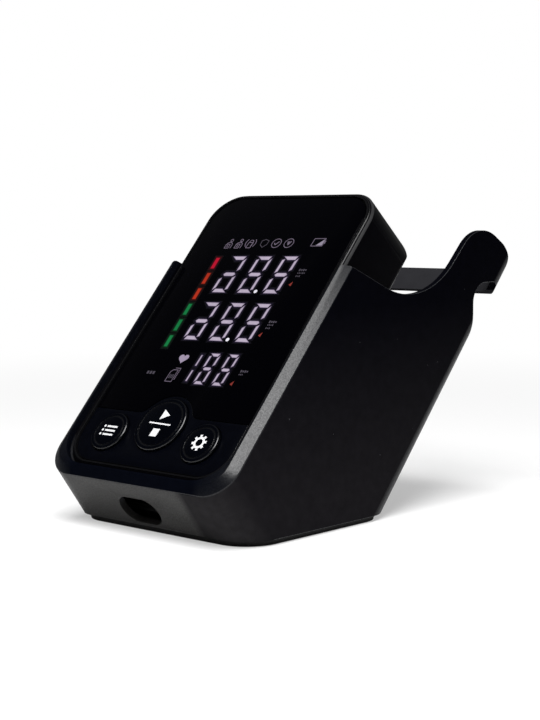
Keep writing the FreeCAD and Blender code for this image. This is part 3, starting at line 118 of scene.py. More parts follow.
@dataclass
class EffectLibrary:
    """Builds each shared shader node group once, from the scales and thresholds below."""

    pit_detail: float = 3.0
    pit_roughness: float = 0.65
    cloud_detail: float = 2.0
    cloud_share: float = 0.06
    speck_scale: float = 260.0
    speck_radius: float = 0.055
    line_detail: float = 4.0
    haze_scale: float = 38.0
    haze_detail: float = 5.0
    haze_range: Point = (0.45, 0.75)
    groups: dict[Effect, bpy.types.NodeTree] = field(default_factory=dict)

    def get(self, effect: Effect) -> bpy.types.NodeTree:
        """Find the group of an effect, building it on first use.

        Args:
            effect: The effect wanted.

        Returns:
            Its shader node group.
        """
        if effect not in self.groups:
            makers = {Effect.GRAIN: self._fill_grain, Effect.SPECKS: self._fill_specks,
                      Effect.BRUSH: self._fill_brush, Effect.HAZE: self._fill_haze,
                      Effect.BAND: self._fill_band}
            self.groups[effect] = bpy.data.node_groups.new(effect.value, "ShaderNodeTree")
            makers[effect](self.groups[effect])
        return self.groups[effect]

    @staticmethod
    def _sockets(tree: bpy.types.NodeTree, inputs: dict[str, str], outputs: dict[str, str]) -> tuple:
        """Declare a group's sockets and place its two end nodes.

        Args:
            tree: The group.
            inputs: Socket kind of each input, by name.
            outputs: Socket kind of each output, by name.

        Returns:
            The group input node and the group output node.
        """
        for way, wanted in (("INPUT", inputs), ("OUTPUT", outputs)):
            for name, kind in wanted.items():
                tree.interface.new_socket(name, in_out=way, socket_type="NodeSocket" + kind)
        return tree.nodes.new("NodeGroupInput"), tree.nodes.new("NodeGroupOutput")

    @staticmethod
    def _noise(tree: bpy.types.NodeTree, place: bpy.types.NodeSocket, scale: Value,
               detail: float) -> bpy.types.Node:
        """Add a noise texture.

        Args:
            tree: The group.
            place: The point that it is read at.
            scale: Its scale, a socket or a number.
            detail: Its number of octaves.

        Returns:
            The texture node.
        """
        noise = tree.nodes.new("ShaderNodeTexNoise")
        noise.inputs["Detail"].default_value = detail
        tree.links.new(place, noise.inputs["Vector"])
        if isinstance(scale, float):
            noise.inputs["Scale"].default_value = scale
        else:
            tree.links.new(scale, noise.inputs["Scale"])
        return noise

    @staticmethod
    def _vary_gloss(tree: bpy.types.NodeTree, start: bpy.types.Node, end: bpy.types.Node,
                    swing: bpy.types.NodeSocket) -> None:
        """Put out the Roughness input, changed by a swing times the Spread input."""
        gloss = arithmetic(tree, "MULTIPLY", swing, start.outputs["Spread"])
        tree.links.new(arithmetic(tree, "ADD", start.outputs["Roughness"], gloss), end.inputs["Roughness"])

    def _fill_grain(self, tree: bpy.types.NodeTree) -> None:
        """Spark-eroded mould texture: pits of two sizes, with slight changes of shade and gloss.

        Args:
            tree: The empty group.
        """
        start, end = self._sockets(
            tree,
            {"Place": "Vector", "Scale": "Float", "Colour": "Color", "Shade": "Float",
             "Roughness": "Float", "Spread": "Float"},
            {"Colour": "Color", "Roughness": "Float", "Height": "Float"})
        place, scale = start.outputs["Place"], start.outputs["Scale"]
        pits = self._noise(tree, place, scale, self.pit_detail)
        pits.inputs["Roughness"].default_value = self.pit_roughness
        wide = arithmetic(tree, "MULTIPLY", scale, self.cloud_share)
        clouds = self._noise(tree, place, wide, self.cloud_detail)
        both = arithmetic(tree, "ADD", pits.outputs["Fac"], clouds.outputs["Fac"])
        swing = arithmetic(tree, "SUBTRACT", both, 1.0)
        self._vary_gloss(tree, start, end, swing)
        tree.links.new(pits.outputs["Fac"], end.inputs["Height"])
        shade = arithmetic(tree, "MULTIPLY", swing, start.outputs["Shade"])
        lift = tree.nodes.new("ShaderNodeVectorMath")
        lift.operation = "SCALE"
        tree.links.new(start.outputs["Colour"], lift.inputs[0])
        tree.links.new(arithmetic(tree, "ADD", shade, 1.0), lift.inputs["Scale"])
        tree.links.new(lift.outputs[0], end.inputs["Colour"])

    def _fill_specks(self, tree: bpy.types.NodeTree) -> None:
        """Sparse pale dust grains of a fraction of a millimetre.

        Args:
            tree: The empty group.
        """
        start, end = self._sockets(
            tree, {"Place": "Vector", "Colour": "Color", "Dust": "Color", "Share": "Float"},
            {"Colour": "Color"})
        cells = tree.nodes.new("ShaderNodeTexVoronoi")
        cells.inputs["Scale"].default_value = self.speck_scale
        tree.links.new(start.outputs["Place"], cells.inputs["Vector"])
        near = arithmetic(tree, "LESS_THAN", cells.outputs["Distance"], self.speck_radius)
        pick = tree.nodes.new("ShaderNodeSeparateColor")
        tree.links.new(cells.outputs["Color"], pick.inputs[0])
        chosen = arithmetic(tree, "LESS_THAN", pick.outputs[0], start.outputs["Share"])
        mask = arithmetic(tree, "MULTIPLY", near, chosen)
        mixed = blended(tree, mask, start.outputs["Colour"], start.outputs["Dust"])
        tree.links.new(mixed, end.inputs["Colour"])

    def _fill_brush(self, tree: bpy.types.NodeTree) -> None:
        """Fine lines along one axis, for drawn and brushed metal.

        Args:
            tree: The empty group.
        """
        start, end = self._sockets(
            tree, {"Place": "Vector", "Stretch": "Vector", "Roughness": "Float", "Spread": "Float"},
            {"Roughness": "Float", "Height": "Float"})
        stretch = tree.nodes.new("ShaderNodeVectorMath")
        stretch.operation = "MULTIPLY"
        tree.links.new(start.outputs["Place"], stretch.inputs[0])
        tree.links.new(start.outputs["Stretch"], stretch.inputs[1])
        lines = self._noise(tree, stretch.outputs[0], 1.0, self.line_detail)
        self._vary_gloss(tree, start, end, arithmetic(tree, "SUBTRACT", lines.outputs["Fac"], 0.5))
        tree.links.new(lines.outputs["Fac"], end.inputs["Height"])

    def _fill_haze(self, tree: bpy.types.NodeTree) -> None:
        """Faint cloudy marks that dull a polished surface a little.

        Args:
            tree: The empty group.
        """
        start, end = self._sockets(
            tree, {"Place": "Vector", "Roughness": "Float", "Spread": "Float"}, {"Roughness": "Float"})
        cloud = self._noise(tree, start.outputs["Place"], self.haze_scale, self.haze_detail)
        part = tree.nodes.new("ShaderNodeMapRange")
        for name, value in zip(("From Min", "From Max"), self.haze_range):
            part.inputs[name].default_value = value
        tree.links.new(cloud.outputs["Fac"], part.inputs["Value"])
        self._vary_gloss(tree, start, end, part.outputs[0])

    def _fill_band(self, tree: bpy.types.NodeTree) -> None:
        """A mask that is 1 between two levels along a direction and fades out just past them.

        Args:
            tree: The empty group.
        """
        start, end = self._sockets(
            tree, {"Place": "Vector", "Direction": "Vector", "Low": "Float", "High": "Float",
                   "Fade": "Float"}, {"Mask": "Float"})
        level = tree.nodes.new("ShaderNodeVectorMath")
        level.operation = "DOT_PRODUCT"
        tree.links.new(start.outputs["Place"], level.inputs[0])
        tree.links.new(start.outputs["Direction"], level.inputs[1])
        height = level.outputs["Value"]
        above = arithmetic(tree, "SUBTRACT", height, start.outputs["Low"])
        below = arithmetic(tree, "SUBTRACT", start.outputs["High"], height)
        nearer = arithmetic(tree, "MINIMUM", above, below)
        faded = arithmetic(tree, "DIVIDE", nearer, start.outputs["Fade"])
        whole = arithmetic(tree, "MAXIMUM", arithmetic(tree, "ADD", faded, 1.0), 0.0)
        tree.links.new(arithmetic(tree, "MINIMUM", whole, 1.0), end.inputs["Mask"])


def arithmetic(tree: bpy.types.NodeTree, operation: str, first: Value,
               second: Value) -> bpy.types.NodeSocket:
    """Add a Math node.

    Args:
        tree: The node tree to work in.
        operation: What the node does.
        first: Its first value, a socket or a number.
        second: Its second value, a socket or a number.

    Returns:
        The result's socket.
    """
    node = tree.nodes.new("ShaderNodeMath")
    node.operation = operation
    for slot, value in zip(node.inputs, (first, second)):
        if isinstance(value, (int, float)):
            slot.default_value = value
        else:
            tree.links.new(value, slot)
    return node.outputs[0]


def blended(tree: bpy.types.NodeTree, share: bpy.types.NodeSocket, first: Tint,
            second: Tint) -> bpy.types.NodeSocket:
    """Mix two colours, each a socket or three numbers.

    Args:
        tree: The node tree to work in.
        share: How much of the second colour shows.
        first: Colour where the share is 0.
        second: Colour where the share is 1.

    Returns:
        The mixed colour's socket.
    """
    mix = tree.nodes.new("ShaderNodeMix")
    mix.data_type = "RGBA"
    tree.links.new(share, mix.inputs["Factor"])
    for name, value in (("A", first), ("B", second)):
        if isinstance(value, tuple):
            mix.inputs[name].default_value = (*value, 1.0)
        else:
            tree.links.new(value, mix.inputs[name])
    return mix.outputs["Result"]


EFFECTS = EffectLibrary()


# ---------------------------------------------------------------- finishes
@dataclass(frozen=True)
class Band:
    """The part of a surface between two levels along a direction, in millimetres."""

    low: float
    high: float
    fade: float = 0.2
    direction: Point3 = tuple(FACE.out)
    zero: float = FACE.origin.dot(FACE.out)


def lip_plane(front: float = -0.5, down: Point = (-0.9, -0.3)) -> tuple[Point3, float]:
    """Find the lip, the large flat face that looks down and to the front.

    Args:
        front: Its normal's y is under this.
        down: Its normal's z is between these.

    Returns:
        The direction that it looks in, and its level along it.
    """
    steep = [face for face in frame["nodes"]["dock_shell"].data.polygons
             if face.normal.y < front and down[0] < face.normal.z < down[1]]
    lip = max(steep, key=lambda face: face.area)
    return tuple(lip.normal), lip.center.dot(lip.normal)


class MaterialMaker:
    """A material's node tree with its Principled BSDF, ready to be wired."""

    def __init__(self, name: str) -> None:
        """Make the material and its Object coordinates.

        Args:
            name: The material's name.
        """
        self.material = bpy.data.materials.new(name)
        self.material.use_nodes = True
        self.tree = self.material.node_tree
        self.shader = self.tree.nodes["Principled BSDF"]
        self.place = self.tree.nodes.new("ShaderNodeTexCoord").outputs["Object"]

    def effect(self, effect: Effect, **values: object) -> bpy.types.Node:
        """Add a shared group and set its inputs.

        Args:
            effect: Which group.
            values: Numbers, colours or sockets, by input name.

        Returns:
            The group node.
        """
        node = self.tree.nodes.new("ShaderNodeGroup")
        node.node_tree = EFFECTS.get(effect)
        self.tree.links.new(self.place, node.inputs["Place"])
        for name, value in values.items():
            if isinstance(value, bpy.types.NodeSocket):
                self.tree.links.new(value, node.inputs[name])
            elif isinstance(value, tuple) and len(value) == 3 and node.inputs[name].type == "RGBA":
                node.inputs[name].default_value = (*value, 1.0)
            else:
                node.inputs[name].default_value = value
        return node

    def mask(self, band: Band) -> bpy.types.NodeSocket:
        """Add a band's mask.

        Args:
            band: The band.

        Returns:
            A value socket: 1 inside the band, 0 outside.
        """
        node = self.effect(Effect.BAND, Direction=band.direction, Low=band.zero + band.low * MM,
                           High=band.zero + band.high * MM, Fade=band.fade * MM)
        return node.outputs["Mask"]

    def attribute(self, name: str) -> bpy.types.NodeSocket:
        """Read one of the piece's own attributes.

        Args:
            name: The attribute's name.

        Returns:
            Its value's socket.
        """
        node = self.tree.nodes.new("ShaderNodeAttribute")
        node.attribute_name = name
        return node.outputs["Fac"]

    def wire(self, socket: bpy.types.NodeSocket, name: str) -> None:
        """Feed one of the shader's inputs."""
        self.tree.links.new(socket, self.shader.inputs[name])

    def bump(self, height: bpy.types.NodeSocket, depth: float) -> None:
        """Feed the shader's normal with a bump.

        Args:
            height: The relief, from 0 to 1.
            depth: What a height of 1 stands for, in metres.
        """
        node = self.tree.nodes.new("ShaderNodeBump")
        node.inputs["Strength"].default_value = 1.0
        node.inputs["Distance"].default_value = depth
        self.tree.links.new(height, node.inputs["Height"])
        self.wire(node.outputs["Normal"], "Normal")

    def constants(self, **values: object) -> None:
        """Set plain numbers on the shader's own sockets; an underscore stands for a space."""
        for name, value in values.items():
            self.shader.inputs[name.replace("_", " ")].default_value = value


@dataclass(frozen=True)
class PlasticFinish:
    """Moulded plastic or rubber with a spark-eroded grain.

    Polished bands and rounded edges shine, a highlight band is painted paler as a painted highlight, and both keep
    to the finish's shine reach, if one is given.
    """

    name: str
    colour: Colour
    roughness: float = 0.42
    grain_scale: float = 5200.0
    grain_depth: float = 0.000012
    shade: float = 0.5
    spread: float = 0.12
    specular: float = 0.5
    dust: float = 0.0
    dust_colour: Colour = (0.2, 0.2, 0.22)
    coat: float = 0.0
    coat_roughness: float = 0.08
    edge_polish: float = 0.0
    polished: tuple[Band, ...] = ()
    # A band painted paler as a painted highlight, and the paler colour.
    highlight_band: Band | None = None
    band_highlight_colour: Colour = (0.02, 0.02, 0.021)
    # The stretch of the face that the shine and the painted highlight keep to.
    shine_reach: Band | None = None

    def _within_shine_reach(self, maker: MaterialMaker, mask: bpy.types.NodeSocket) -> bpy.types.NodeSocket:
        """Keep a mask only within the finish's shine reach, if it has one.

        Args:
            maker: The material's maker.
            mask: The mask before it is limited.

        Returns:
            The limited mask.
        """
        if self.shine_reach is None:
            return mask
        return arithmetic(maker.tree, "MULTIPLY", mask, maker.mask(self.shine_reach))

    def material(self) -> bpy.types.Material:
        """Build the material.

        Returns:
            The new material.
        """
        maker = MaterialMaker(self.name)
        grain = maker.effect(Effect.GRAIN, Scale=self.grain_scale, Colour=self.colour,
                             Shade=self.shade, Roughness=self.roughness, Spread=self.spread)
        colour = grain.outputs["Colour"]
        # Painted highlight: the highlight band gets the paler colour.
        if self.highlight_band is not None:
            share = self._within_shine_reach(maker, maker.mask(self.highlight_band))
            colour = blended(maker.tree, share, colour, self.band_highlight_colour)
        if self.dust > 0:
            dusty = maker.effect(Effect.SPECKS, Colour=colour, Dust=self.dust_colour, Share=self.dust)
            colour = dusty.outputs["Colour"]
        maker.wire(colour, "Base Color")
        maker.wire(grain.outputs["Roughness"], "Roughness")
        maker.bump(grain.outputs["Height"], self.grain_depth)
        maker.constants(Specular_IOR_Level=self.specular, Coat_Weight=self.coat,
                        Coat_Roughness=self.coat_roughness)
        if self.edge_polish > 0:
            shine = maker.attribute(EDGE)
            for band in self.polished:
                shine = arithmetic(maker.tree, "MAXIMUM", shine, maker.mask(band))
            shine = self._within_shine_reach(maker, shine)
            maker.wire(arithmetic(maker.tree, "MULTIPLY", shine, self.edge_polish), "Coat Weight")
        return maker.material


@dataclass(frozen=True)
class ShellFinish:
    """The dock's dull black: satin on its bevels, edges and lip. Its colour holds painted light:
    a painted floor reflection towards the foot, painted highlights on the corners and rounded
    edges, and a painted reflection on the lip.

    The bands say where: the bevel round the rim, which shines only towards its sides, the lip up to
    the corner that it ends in, the corners themselves, the foot, and the inside of the hook bar.
    """

    name: str
    colour: Colour = (0.0013, 0.0013, 0.0025)
    # Painted floor reflection: the colour grows lighter towards the foot.
    floor_reflection_colour: Colour = (0.0098, 0.0092, 0.0106)
    # Painted highlight on the lower front corners.
    corner_highlight_colour: Colour = (0.0195, 0.0187, 0.0200)
    # Painted highlight on rounded edges and rolled flanks.
    edge_highlight_colour: Colour = (0.030, 0.031, 0.034)
    rim_colour: Colour = (0.0012, 0.0016, 0.0034)
    # Painted reflection of the floor on the lip.
    lip_reflection_colour: Colour = (0.013, 0.0125, 0.012)
    inner_colour: Colour = (0.020, 0.020, 0.0225)
    dust_colour: Colour = (0.12, 0.12, 0.13)
    dust: float = 0.05
    roughness: float = 0.5
    specular: float = 0.004
    grain_scale: float = 5200.0
    grain_depth: float = 0.000012
    shade: float = 0.6
    spread: float = 0.12
    inner_scale: float = 2080.0
    inner_shade: float = 0.3
    inner_spread: float = 0.1
    shine_grain: float = 1.6
    bevel: Band = Band(-0.3, 2.6, 0.3)
    bevel_polish: float = 0.74
    bevel_ends: Band = Band(-31.0, 31.0, 10.0, (1.0, 0.0, 0.0), 0.0)
    bevel_fade: Band = Band(-10.0, 15.0, 200.0, tuple(FACE.up), FACE.origin.dot(FACE.up))
    bevel_roughness: float = 0.3
    edge_polish: float = 0.9
    lip: Band = Band(-1.5, 1.0, 2.0, *lip_plane())
    lip_ends: Band = Band(-60.0, 22.0, 4.0, (1.0, 0.0, 0.0), 0.0)
    below_rim: Band = Band(-60.0, -0.1, 0.1)
    lip_polish: float = 0.56
    hook: Band = Band(-77.9, -76.9, 0.3)
    between_arms: Band = Band(-43.7, 43.7, 0.1, (1.0, 0.0, 0.0), 0.0)
    foot: Band = Band(-5.0, 12.0, 68.0, (0.0, 0.0, 1.0), 0.0)
    corners: Band = Band(-1.0, 1.0, 9.0, *lip_plane())

    def material(self) -> bpy.types.Material:
        """Build the material.

        Returns:
            The new material.
        """
        maker = MaterialMaker(self.name)
        tree = maker.tree
        bevel = maker.mask(self.bevel)
        lip = arithmetic(tree, "MULTIPLY", maker.mask(self.lip), maker.mask(self.below_rim))
        lip = arithmetic(tree, "MULTIPLY", lip, maker.mask(self.lip_ends))
        # Painted light: lighter towards the foot as a painted floor reflection, and lighter still on the corners
        # as a painted highlight.
        colour_with_painted_light = blended(tree, maker.mask(self.corners), self.floor_reflection_colour, self.corner_highlight_colour)
        colour_with_painted_light = blended(tree, maker.mask(self.foot), self.colour, colour_with_painted_light)
        # Painted reflection on the lip.
        colour_with_painted_light = blended(tree, lip, colour_with_painted_light, self.lip_reflection_colour)
        # Painted highlight on rounded edges and rolled flanks, which the edge attribute marks.
        colour_with_painted_light = blended(tree, maker.attribute(EDGE), colour_with_painted_light, self.edge_highlight_colour)
        colour_with_painted_light = blended(tree, bevel, colour_with_painted_light, self.rim_colour)
        grain = maker.effect(Effect.GRAIN, Scale=self.grain_scale, Colour=colour_with_painted_light, Shade=self.shade,
                             Roughness=self.roughness, Spread=self.spread)
        inner = maker.effect(Effect.GRAIN, Scale=self.inner_scale, Colour=self.inner_colour,
                             Shade=self.inner_shade, Roughness=self.roughness, Spread=self.inner_spread)
        share = arithmetic(tree, "MULTIPLY", maker.mask(self.hook), maker.mask(self.between_arms))
        colour = blended(tree, share, grain.outputs["Colour"], inner.outputs["Colour"])
        dusty = maker.effect(Effect.SPECKS, Colour=colour, Dust=self.dust_colour, Share=self.dust)
        maker.wire(dusty.outputs["Colour"], "Base Color")
        maker.wire(grain.outputs["Roughness"], "Roughness")
        maker.bump(grain.outputs["Height"], self.grain_depth)
        fine = arithmetic(tree, "MULTIPLY", inner.outputs["Height"], self.shine_grain)
        sides = arithmetic(tree, "SUBTRACT", 1.0, maker.mask(self.bevel_ends))
        bevel = arithmetic(tree, "MULTIPLY", bevel, maker.mask(self.bevel_fade))
        shine = arithmetic(tree, "MULTIPLY", maker.attribute(EDGE), self.edge_polish)
        for mask, polish in ((arithmetic(tree, "MULTIPLY", bevel, sides), self.bevel_polish),
                             (lip, self.lip_polish)):
            shine = arithmetic(tree, "MAXIMUM", shine, arithmetic(tree, "MULTIPLY", mask, polish))
        maker.wire(arithmetic(tree, "MULTIPLY", shine, fine), "Coat Weight")
        maker.constants(Specular_IOR_Level=self.specular, Coat_Roughness=self.bevel_roughness)
        return maker.material


@dataclass(frozen=True)
class PolishedFinish:
    """Glossy plastic or acrylic with faint haze and dust."""

    name: str
    colour: Colour
    roughness: float = 0.06
    haze: float = 0.08
    specular: float = 0.5
    dust: float = 0.0
    dust_colour: Colour = (0.3, 0.31, 0.34)

    def material(self) -> bpy.types.Material:
        """Build the material.

        Returns:
            The new material.
        """
        maker = MaterialMaker(self.name)
        dusty = maker.effect(Effect.SPECKS, Colour=self.colour, Dust=self.dust_colour, Share=self.dust)
        haze = maker.effect(Effect.HAZE, Roughness=self.roughness, Spread=self.haze)
        maker.wire(dusty.outputs["Colour"], "Base Color")
        maker.wire(haze.outputs["Roughness"], "Roughness")
        maker.constants(Specular_IOR_Level=self.specular)
        return maker.material


@dataclass(frozen=True)
class MetalFinish:
    """Plated, drawn or brushed metal with lines along one axis."""

    name: str
    colour: Colour
    roughness: float = 0.28
    stretch: Point3 = (60.0, 4000.0, 4000.0)
    spread: float = 0.3
    depth: float = 0.000004
    cloud_scale: float = 900.0
    shade: float = 0.12

    def material(self) -> bpy.types.Material:
        """Build the material.

        Returns:
            The new material.
        """
        maker = MaterialMaker(self.name)
        lines = maker.effect(Effect.BRUSH, Stretch=self.stretch, Roughness=self.roughness,
                             Spread=self.spread)
        clouds = maker.effect(Effect.GRAIN, Scale=self.cloud_scale, Colour=self.colour, Shade=self.shade)
        maker.wire(clouds.outputs["Colour"], "Base Color")
        maker.wire(lines.outputs["Roughness"], "Roughness")
        maker.bump(lines.outputs["Height"], self.depth)
        maker.constants(Metallic=1.0)
        return maker.material


@dataclass(frozen=True)
class LitFinish:
    """A lit or printed shape behind the glass, mottled, and dimmer towards its border if it has one."""

    name: str
    colour: Colour
    border: Colour | None = None
    unlit: Colour = (0.002, 0.002, 0.003)
    mottle: float = 0.5
    mottle_scale: float = 1400.0
    roughness: float = 0.2
    spread: float = 0.1
    specular: float = 0.1

    def material(self) -> bpy.types.Material:
        """Build the material.

        Returns:
            The new material.
        """
        maker = MaterialMaker(self.name)
        grain = maker.effect(Effect.GRAIN, Scale=self.mottle_scale, Colour=self.colour, Shade=self.mottle,
                             Roughness=self.roughness, Spread=self.spread)
        colour = grain.outputs["Colour"]
        if self.border is not None:
            colour = blended(maker.tree, maker.attribute(CORE), self.border, colour)
        maker.wire(colour, "Emission Color")
        maker.wire(grain.outputs["Roughness"], "Roughness")
        maker.constants(Emission_Strength=1.0, Base_Color=(*self.unlit, 1.0),
                        Specular_IOR_Level=self.specular)
        return maker.material


@dataclass(frozen=True)
class GlowFinish:
    """The window's black with light that fades away from a lit shape, by the piece's own attribute."""

    name: str
    colour: Colour
    glass: Colour = (0.0008, 0.0008, 0.0012)
    falloff: float = 1.6
    roughness: float = 0.06
    haze: float = 0.08
    specular: float = 0.2

    def material(self) -> bpy.types.Material:
        """Build the material.

        Returns:
            The new material.
        """
        maker = MaterialMaker(self.name)
        softer = arithmetic(maker.tree, "POWER", maker.attribute(CORE), self.falloff)
        maker.wire(blended(maker.tree, softer, (0.0, 0.0, 0.0), self.colour), "Emission Color")
        haze = maker.effect(Effect.HAZE, Roughness=self.roughness, Spread=self.haze)
        maker.wire(haze.outputs["Roughness"], "Roughness")
        maker.constants(Emission_Strength=1.0, Base_Color=(*self.glass, 1.0),
                        Specular_IOR_Level=self.specular)
        return maker.material


Finish = PlasticFinish | ShellFinish | PolishedFinish | MetalFinish | LitFinish | GlowFinish

ABOVE_KEYS = Band(34.0, 400.0, 16.0, tuple(FACE.up), FACE.origin.dot(FACE.up))

SHELL_BLACK = ShellFinish("shell_black")
INNER_BLACK = PlasticFinish("inner_black", (0.006, 0.006, 0.0062), roughness=0.6, specular=0.15)
PAD_RUBBER = PlasticFinish("pad_rubber", (0.008, 0.008, 0.008), roughness=0.8, grain_depth=0.00004,
                           grain_scale=2600.0, specular=0.2)
# The chamfer band of the case is painted paler: a painted highlight along the case's edge, kept above the keys.
CASE_BLACK = PlasticFinish("case_black", (0.0012, 0.0011, 0.0017), roughness=0.4, dust=0.02,
                           specular=0.02, edge_polish=0.7, coat_roughness=0.3,
                           polished=(Band(-1.32, -0.62, 0.08), Band(-0.2, 0.05, 0.05)),
                           highlight_band=Band(-1.4, -0.62, 0.08), shine_reach=ABOVE_KEYS)
RING_BLACK = PlasticFinish("ring_black", (0.003, 0.003, 0.0035), roughness=0.2, specular=0.1,
                           spread=0.05, grain_depth=0.000003, edge_polish=1.0, coat_roughness=0.22,
                           shine_reach=ABOVE_KEYS)
WINDOW_BLACK = PolishedFinish("window_black", (0.0003, 0.0003, 0.0007), roughness=0.05, dust=0.012,
                              specular=0.03)
PANEL_BLACK = PlasticFinish("panel_black", (0.0005, 0.0007, 0.0018), roughness=0.3, spread=0.06,
                            grain_depth=0.000004, dust=0.04, specular=0.045, edge_polish=0.5,
                            coat_roughness=0.25)
BUTTON_BLACK = PlasticFinish("button_black", (0.0005, 0.0007, 0.0016), roughness=0.2, spread=0.06,
                             grain_depth=0.000004, dust=0.01, specular=0.03, edge_polish=0.8,
                             coat_roughness=0.2, polished=(Band(0.1, 0.84, 0.03),))
SILICONE = PlasticFinish("keypad_silicone", (0.35, 0.36, 0.38), roughness=0.62)
REFLECTOR = PlasticFinish("reflector_white", (0.8, 0.8, 0.8), roughness=0.5, shade=0.08)
DIFFUSER = LitFinish("diffuser_violet", (0.70, 0.60, 0.82))
BOARD_GREEN = PlasticFinish("board_green", (0.012, 0.11, 0.045), roughness=0.3, shade=0.25,
                            grain_scale=1500.0)
CHIP_BLACK = PlasticFinish("chip_black", (0.02, 0.02, 0.02), roughness=0.55)
LAMP = PlasticFinish("lamp_ivory", (0.85, 0.82, 0.6), roughness=0.25, shade=0.1)
SENSOR_GREY = PlasticFinish("sensor_grey", (0.28, 0.29, 0.3), roughness=0.45, shade=0.15)
PUMP_WHITE = PlasticFinish("pump_white", (0.66, 0.66, 0.63), roughness=0.45, shade=0.1)
FOAM_GREY = PlasticFinish("foam_grey", (0.12, 0.12, 0.125), roughness=0.9, grain_scale=1200.0,
                          grain_depth=0.0003)
TUBE_MILKY = PlasticFinish("tube_milky", (0.66, 0.66, 0.62), roughness=0.35, shade=0.1)
CELL_SLEEVE = PlasticFinish("cell_sleeve", (0.03, 0.06, 0.16), roughness=0.25, shade=0.2, coat=0.4)
ZINC = MetalFinish("zinc_plate", (0.55, 0.55, 0.56), roughness=0.32)
MOTOR_STEEL = MetalFinish("motor_steel", (0.62, 0.62, 0.63), roughness=0.25)
SOCKET_STEEL = MetalFinish("socket_steel", (0.5, 0.5, 0.52), roughness=0.22)
NICKEL = MetalFinish("spring_nickel", (0.66, 0.64, 0.6), roughness=0.2)

LILAC_LIT = LitFinish("lit_lilac", (0.48, 0.41, 0.52), border=(0.21, 0.16, 0.25))
LILAC_LIT_PLAIN = LitFinish("lit_charge", (0.31, 0.27, 0.35))
HEART_LIT = LitFinish("lit_heart", (0.35, 0.29, 0.40), mottle=0.3)
WHITE_LIT = LitFinish("lit_point", (0.85, 0.83, 0.92))
RED_LIT = LitFinish("lit_red", (0.50, 0.003, 0.024), border=(0.22, 0.002, 0.008), mottle=0.35)
ORANGE_LIT = LitFinish("lit_orange", (0.43, 0.026, 0.006), border=(0.18, 0.009, 0.003), mottle=0.35)
POINTER_LIT = LitFinish("lit_pointer", (0.24, 0.034, 0.024), mottle=0.35)
GREEN_LIT = LitFinish("lit_green", (0.004, 0.18, 0.046), border=(0.002, 0.075, 0.018), mottle=0.35)
DIM_LILAC = LitFinish("dim_lilac", (0.16, 0.13, 0.18))
DIM_GREY = LitFinish("dim_grey", (0.075, 0.066, 0.085))
LEGEND_WHITE = PlasticFinish("legend_white", (0.60, 0.60, 0.61), roughness=0.5, shade=0.05, spread=0.02)
VIOLET_GLOW = GlowFinish("violet_glow", (0.013, 0.009, 0.026))
RED_GLOW = GlowFinish("red_glow", (0.055, 0.0, 0.003))
ORANGE_GLOW = GlowFinish("orange_glow", (0.032, 0.002, 0.0))
GREEN_GLOW = GlowFinish("green_glow", (0.0, 0.020, 0.004))

NODE_FINISHES: dict[str, Finish] = {
    "dock_shell": SHELL_BLACK, "cradle_tray": INNER_BLACK, "dock_base_plate": INNER_BLACK,
    "base_pad": PAD_RUBBER, "dock_screws": ZINC, "rear_housing": CASE_BLACK,
    "front_frame": RING_BLACK, "display_window": WINDOW_BLACK, "button_panel": PANEL_BLACK,
    "start_button": BUTTON_BLACK, "memory_button": BUTTON_BLACK, "settings_button": BUTTON_BLACK,
    "keypad": SILICONE, "light_guide": REFLECTOR, "light_segments": DIFFUSER,
    "display_board": BOARD_GREEN, "display_leds": LAMP, "main_board": BOARD_GREEN,
    "board_chips": CHIP_BLACK, "pressure_sensor": SENSOR_GREY, "speaker": CHIP_BLACK,
    "usb_socket": SOCKET_STEEL, "air_socket": INNER_BLACK, "pump_motor": MOTOR_STEEL,
    "pump_head": PUMP_WHITE, "pump_saddle": FOAM_GREY, "release_valve": ZINC,
    "air_manifold": PUMP_WHITE, "air_tubes": TUBE_MILKY, "battery_cells": CELL_SLEEVE,
    "battery_springs": NICKEL, "battery_contacts": NICKEL, "battery_cover": CASE_BLACK,
    "monitor_feet": PAD_RUBBER, "case_screws": ZINC, "board_screws": ZINC,
}

MATERIALS: dict[str, bpy.types.Material] = {}


def material_of(finish: Finish) -> bpy.types.Material:
    """Find the material of a finish, building it on first use.

    Args:
        finish: The finish.

    Returns:
        Its material.
    """
    if finish.name not in MATERIALS:
        MATERIALS[finish.name] = finish.material()
    return MATERIALS[finish.name]


# ---------------------------------------------------------------- mesh helpers
def add_piece(name: str, mesh: bmesh.types.BMesh, finish: Finish, body: str) -> bpy.types.Object:
    """Turn a finished bmesh into an object that rides on a body.

    Args:
        name: The piece's name.
        mesh: Its geometry in the part's frame; it is freed.
        finish: Its finish.
        body: The body that carries it.

    Returns:
        The new object.
    """
    data = bpy.data.meshes.new(name)
    mesh.to_mesh(data)
    mesh.free()
    piece = bpy.data.objects.new(name, data)
    bpy.context.scene.collection.objects.link(piece)
    data.materials.append(material_of(finish))
    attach(piece, body)
    LOG.info("%s: %d faces on %s", name, len(data.polygons), body)
    return piece


def body_of(node: str) -> str:
    """Name of the body that holds a CAD node."""
    bodies = frame["record"]["behaviour"]["bodies"]
    return next(body for body, members in bodies.items() if node in members)


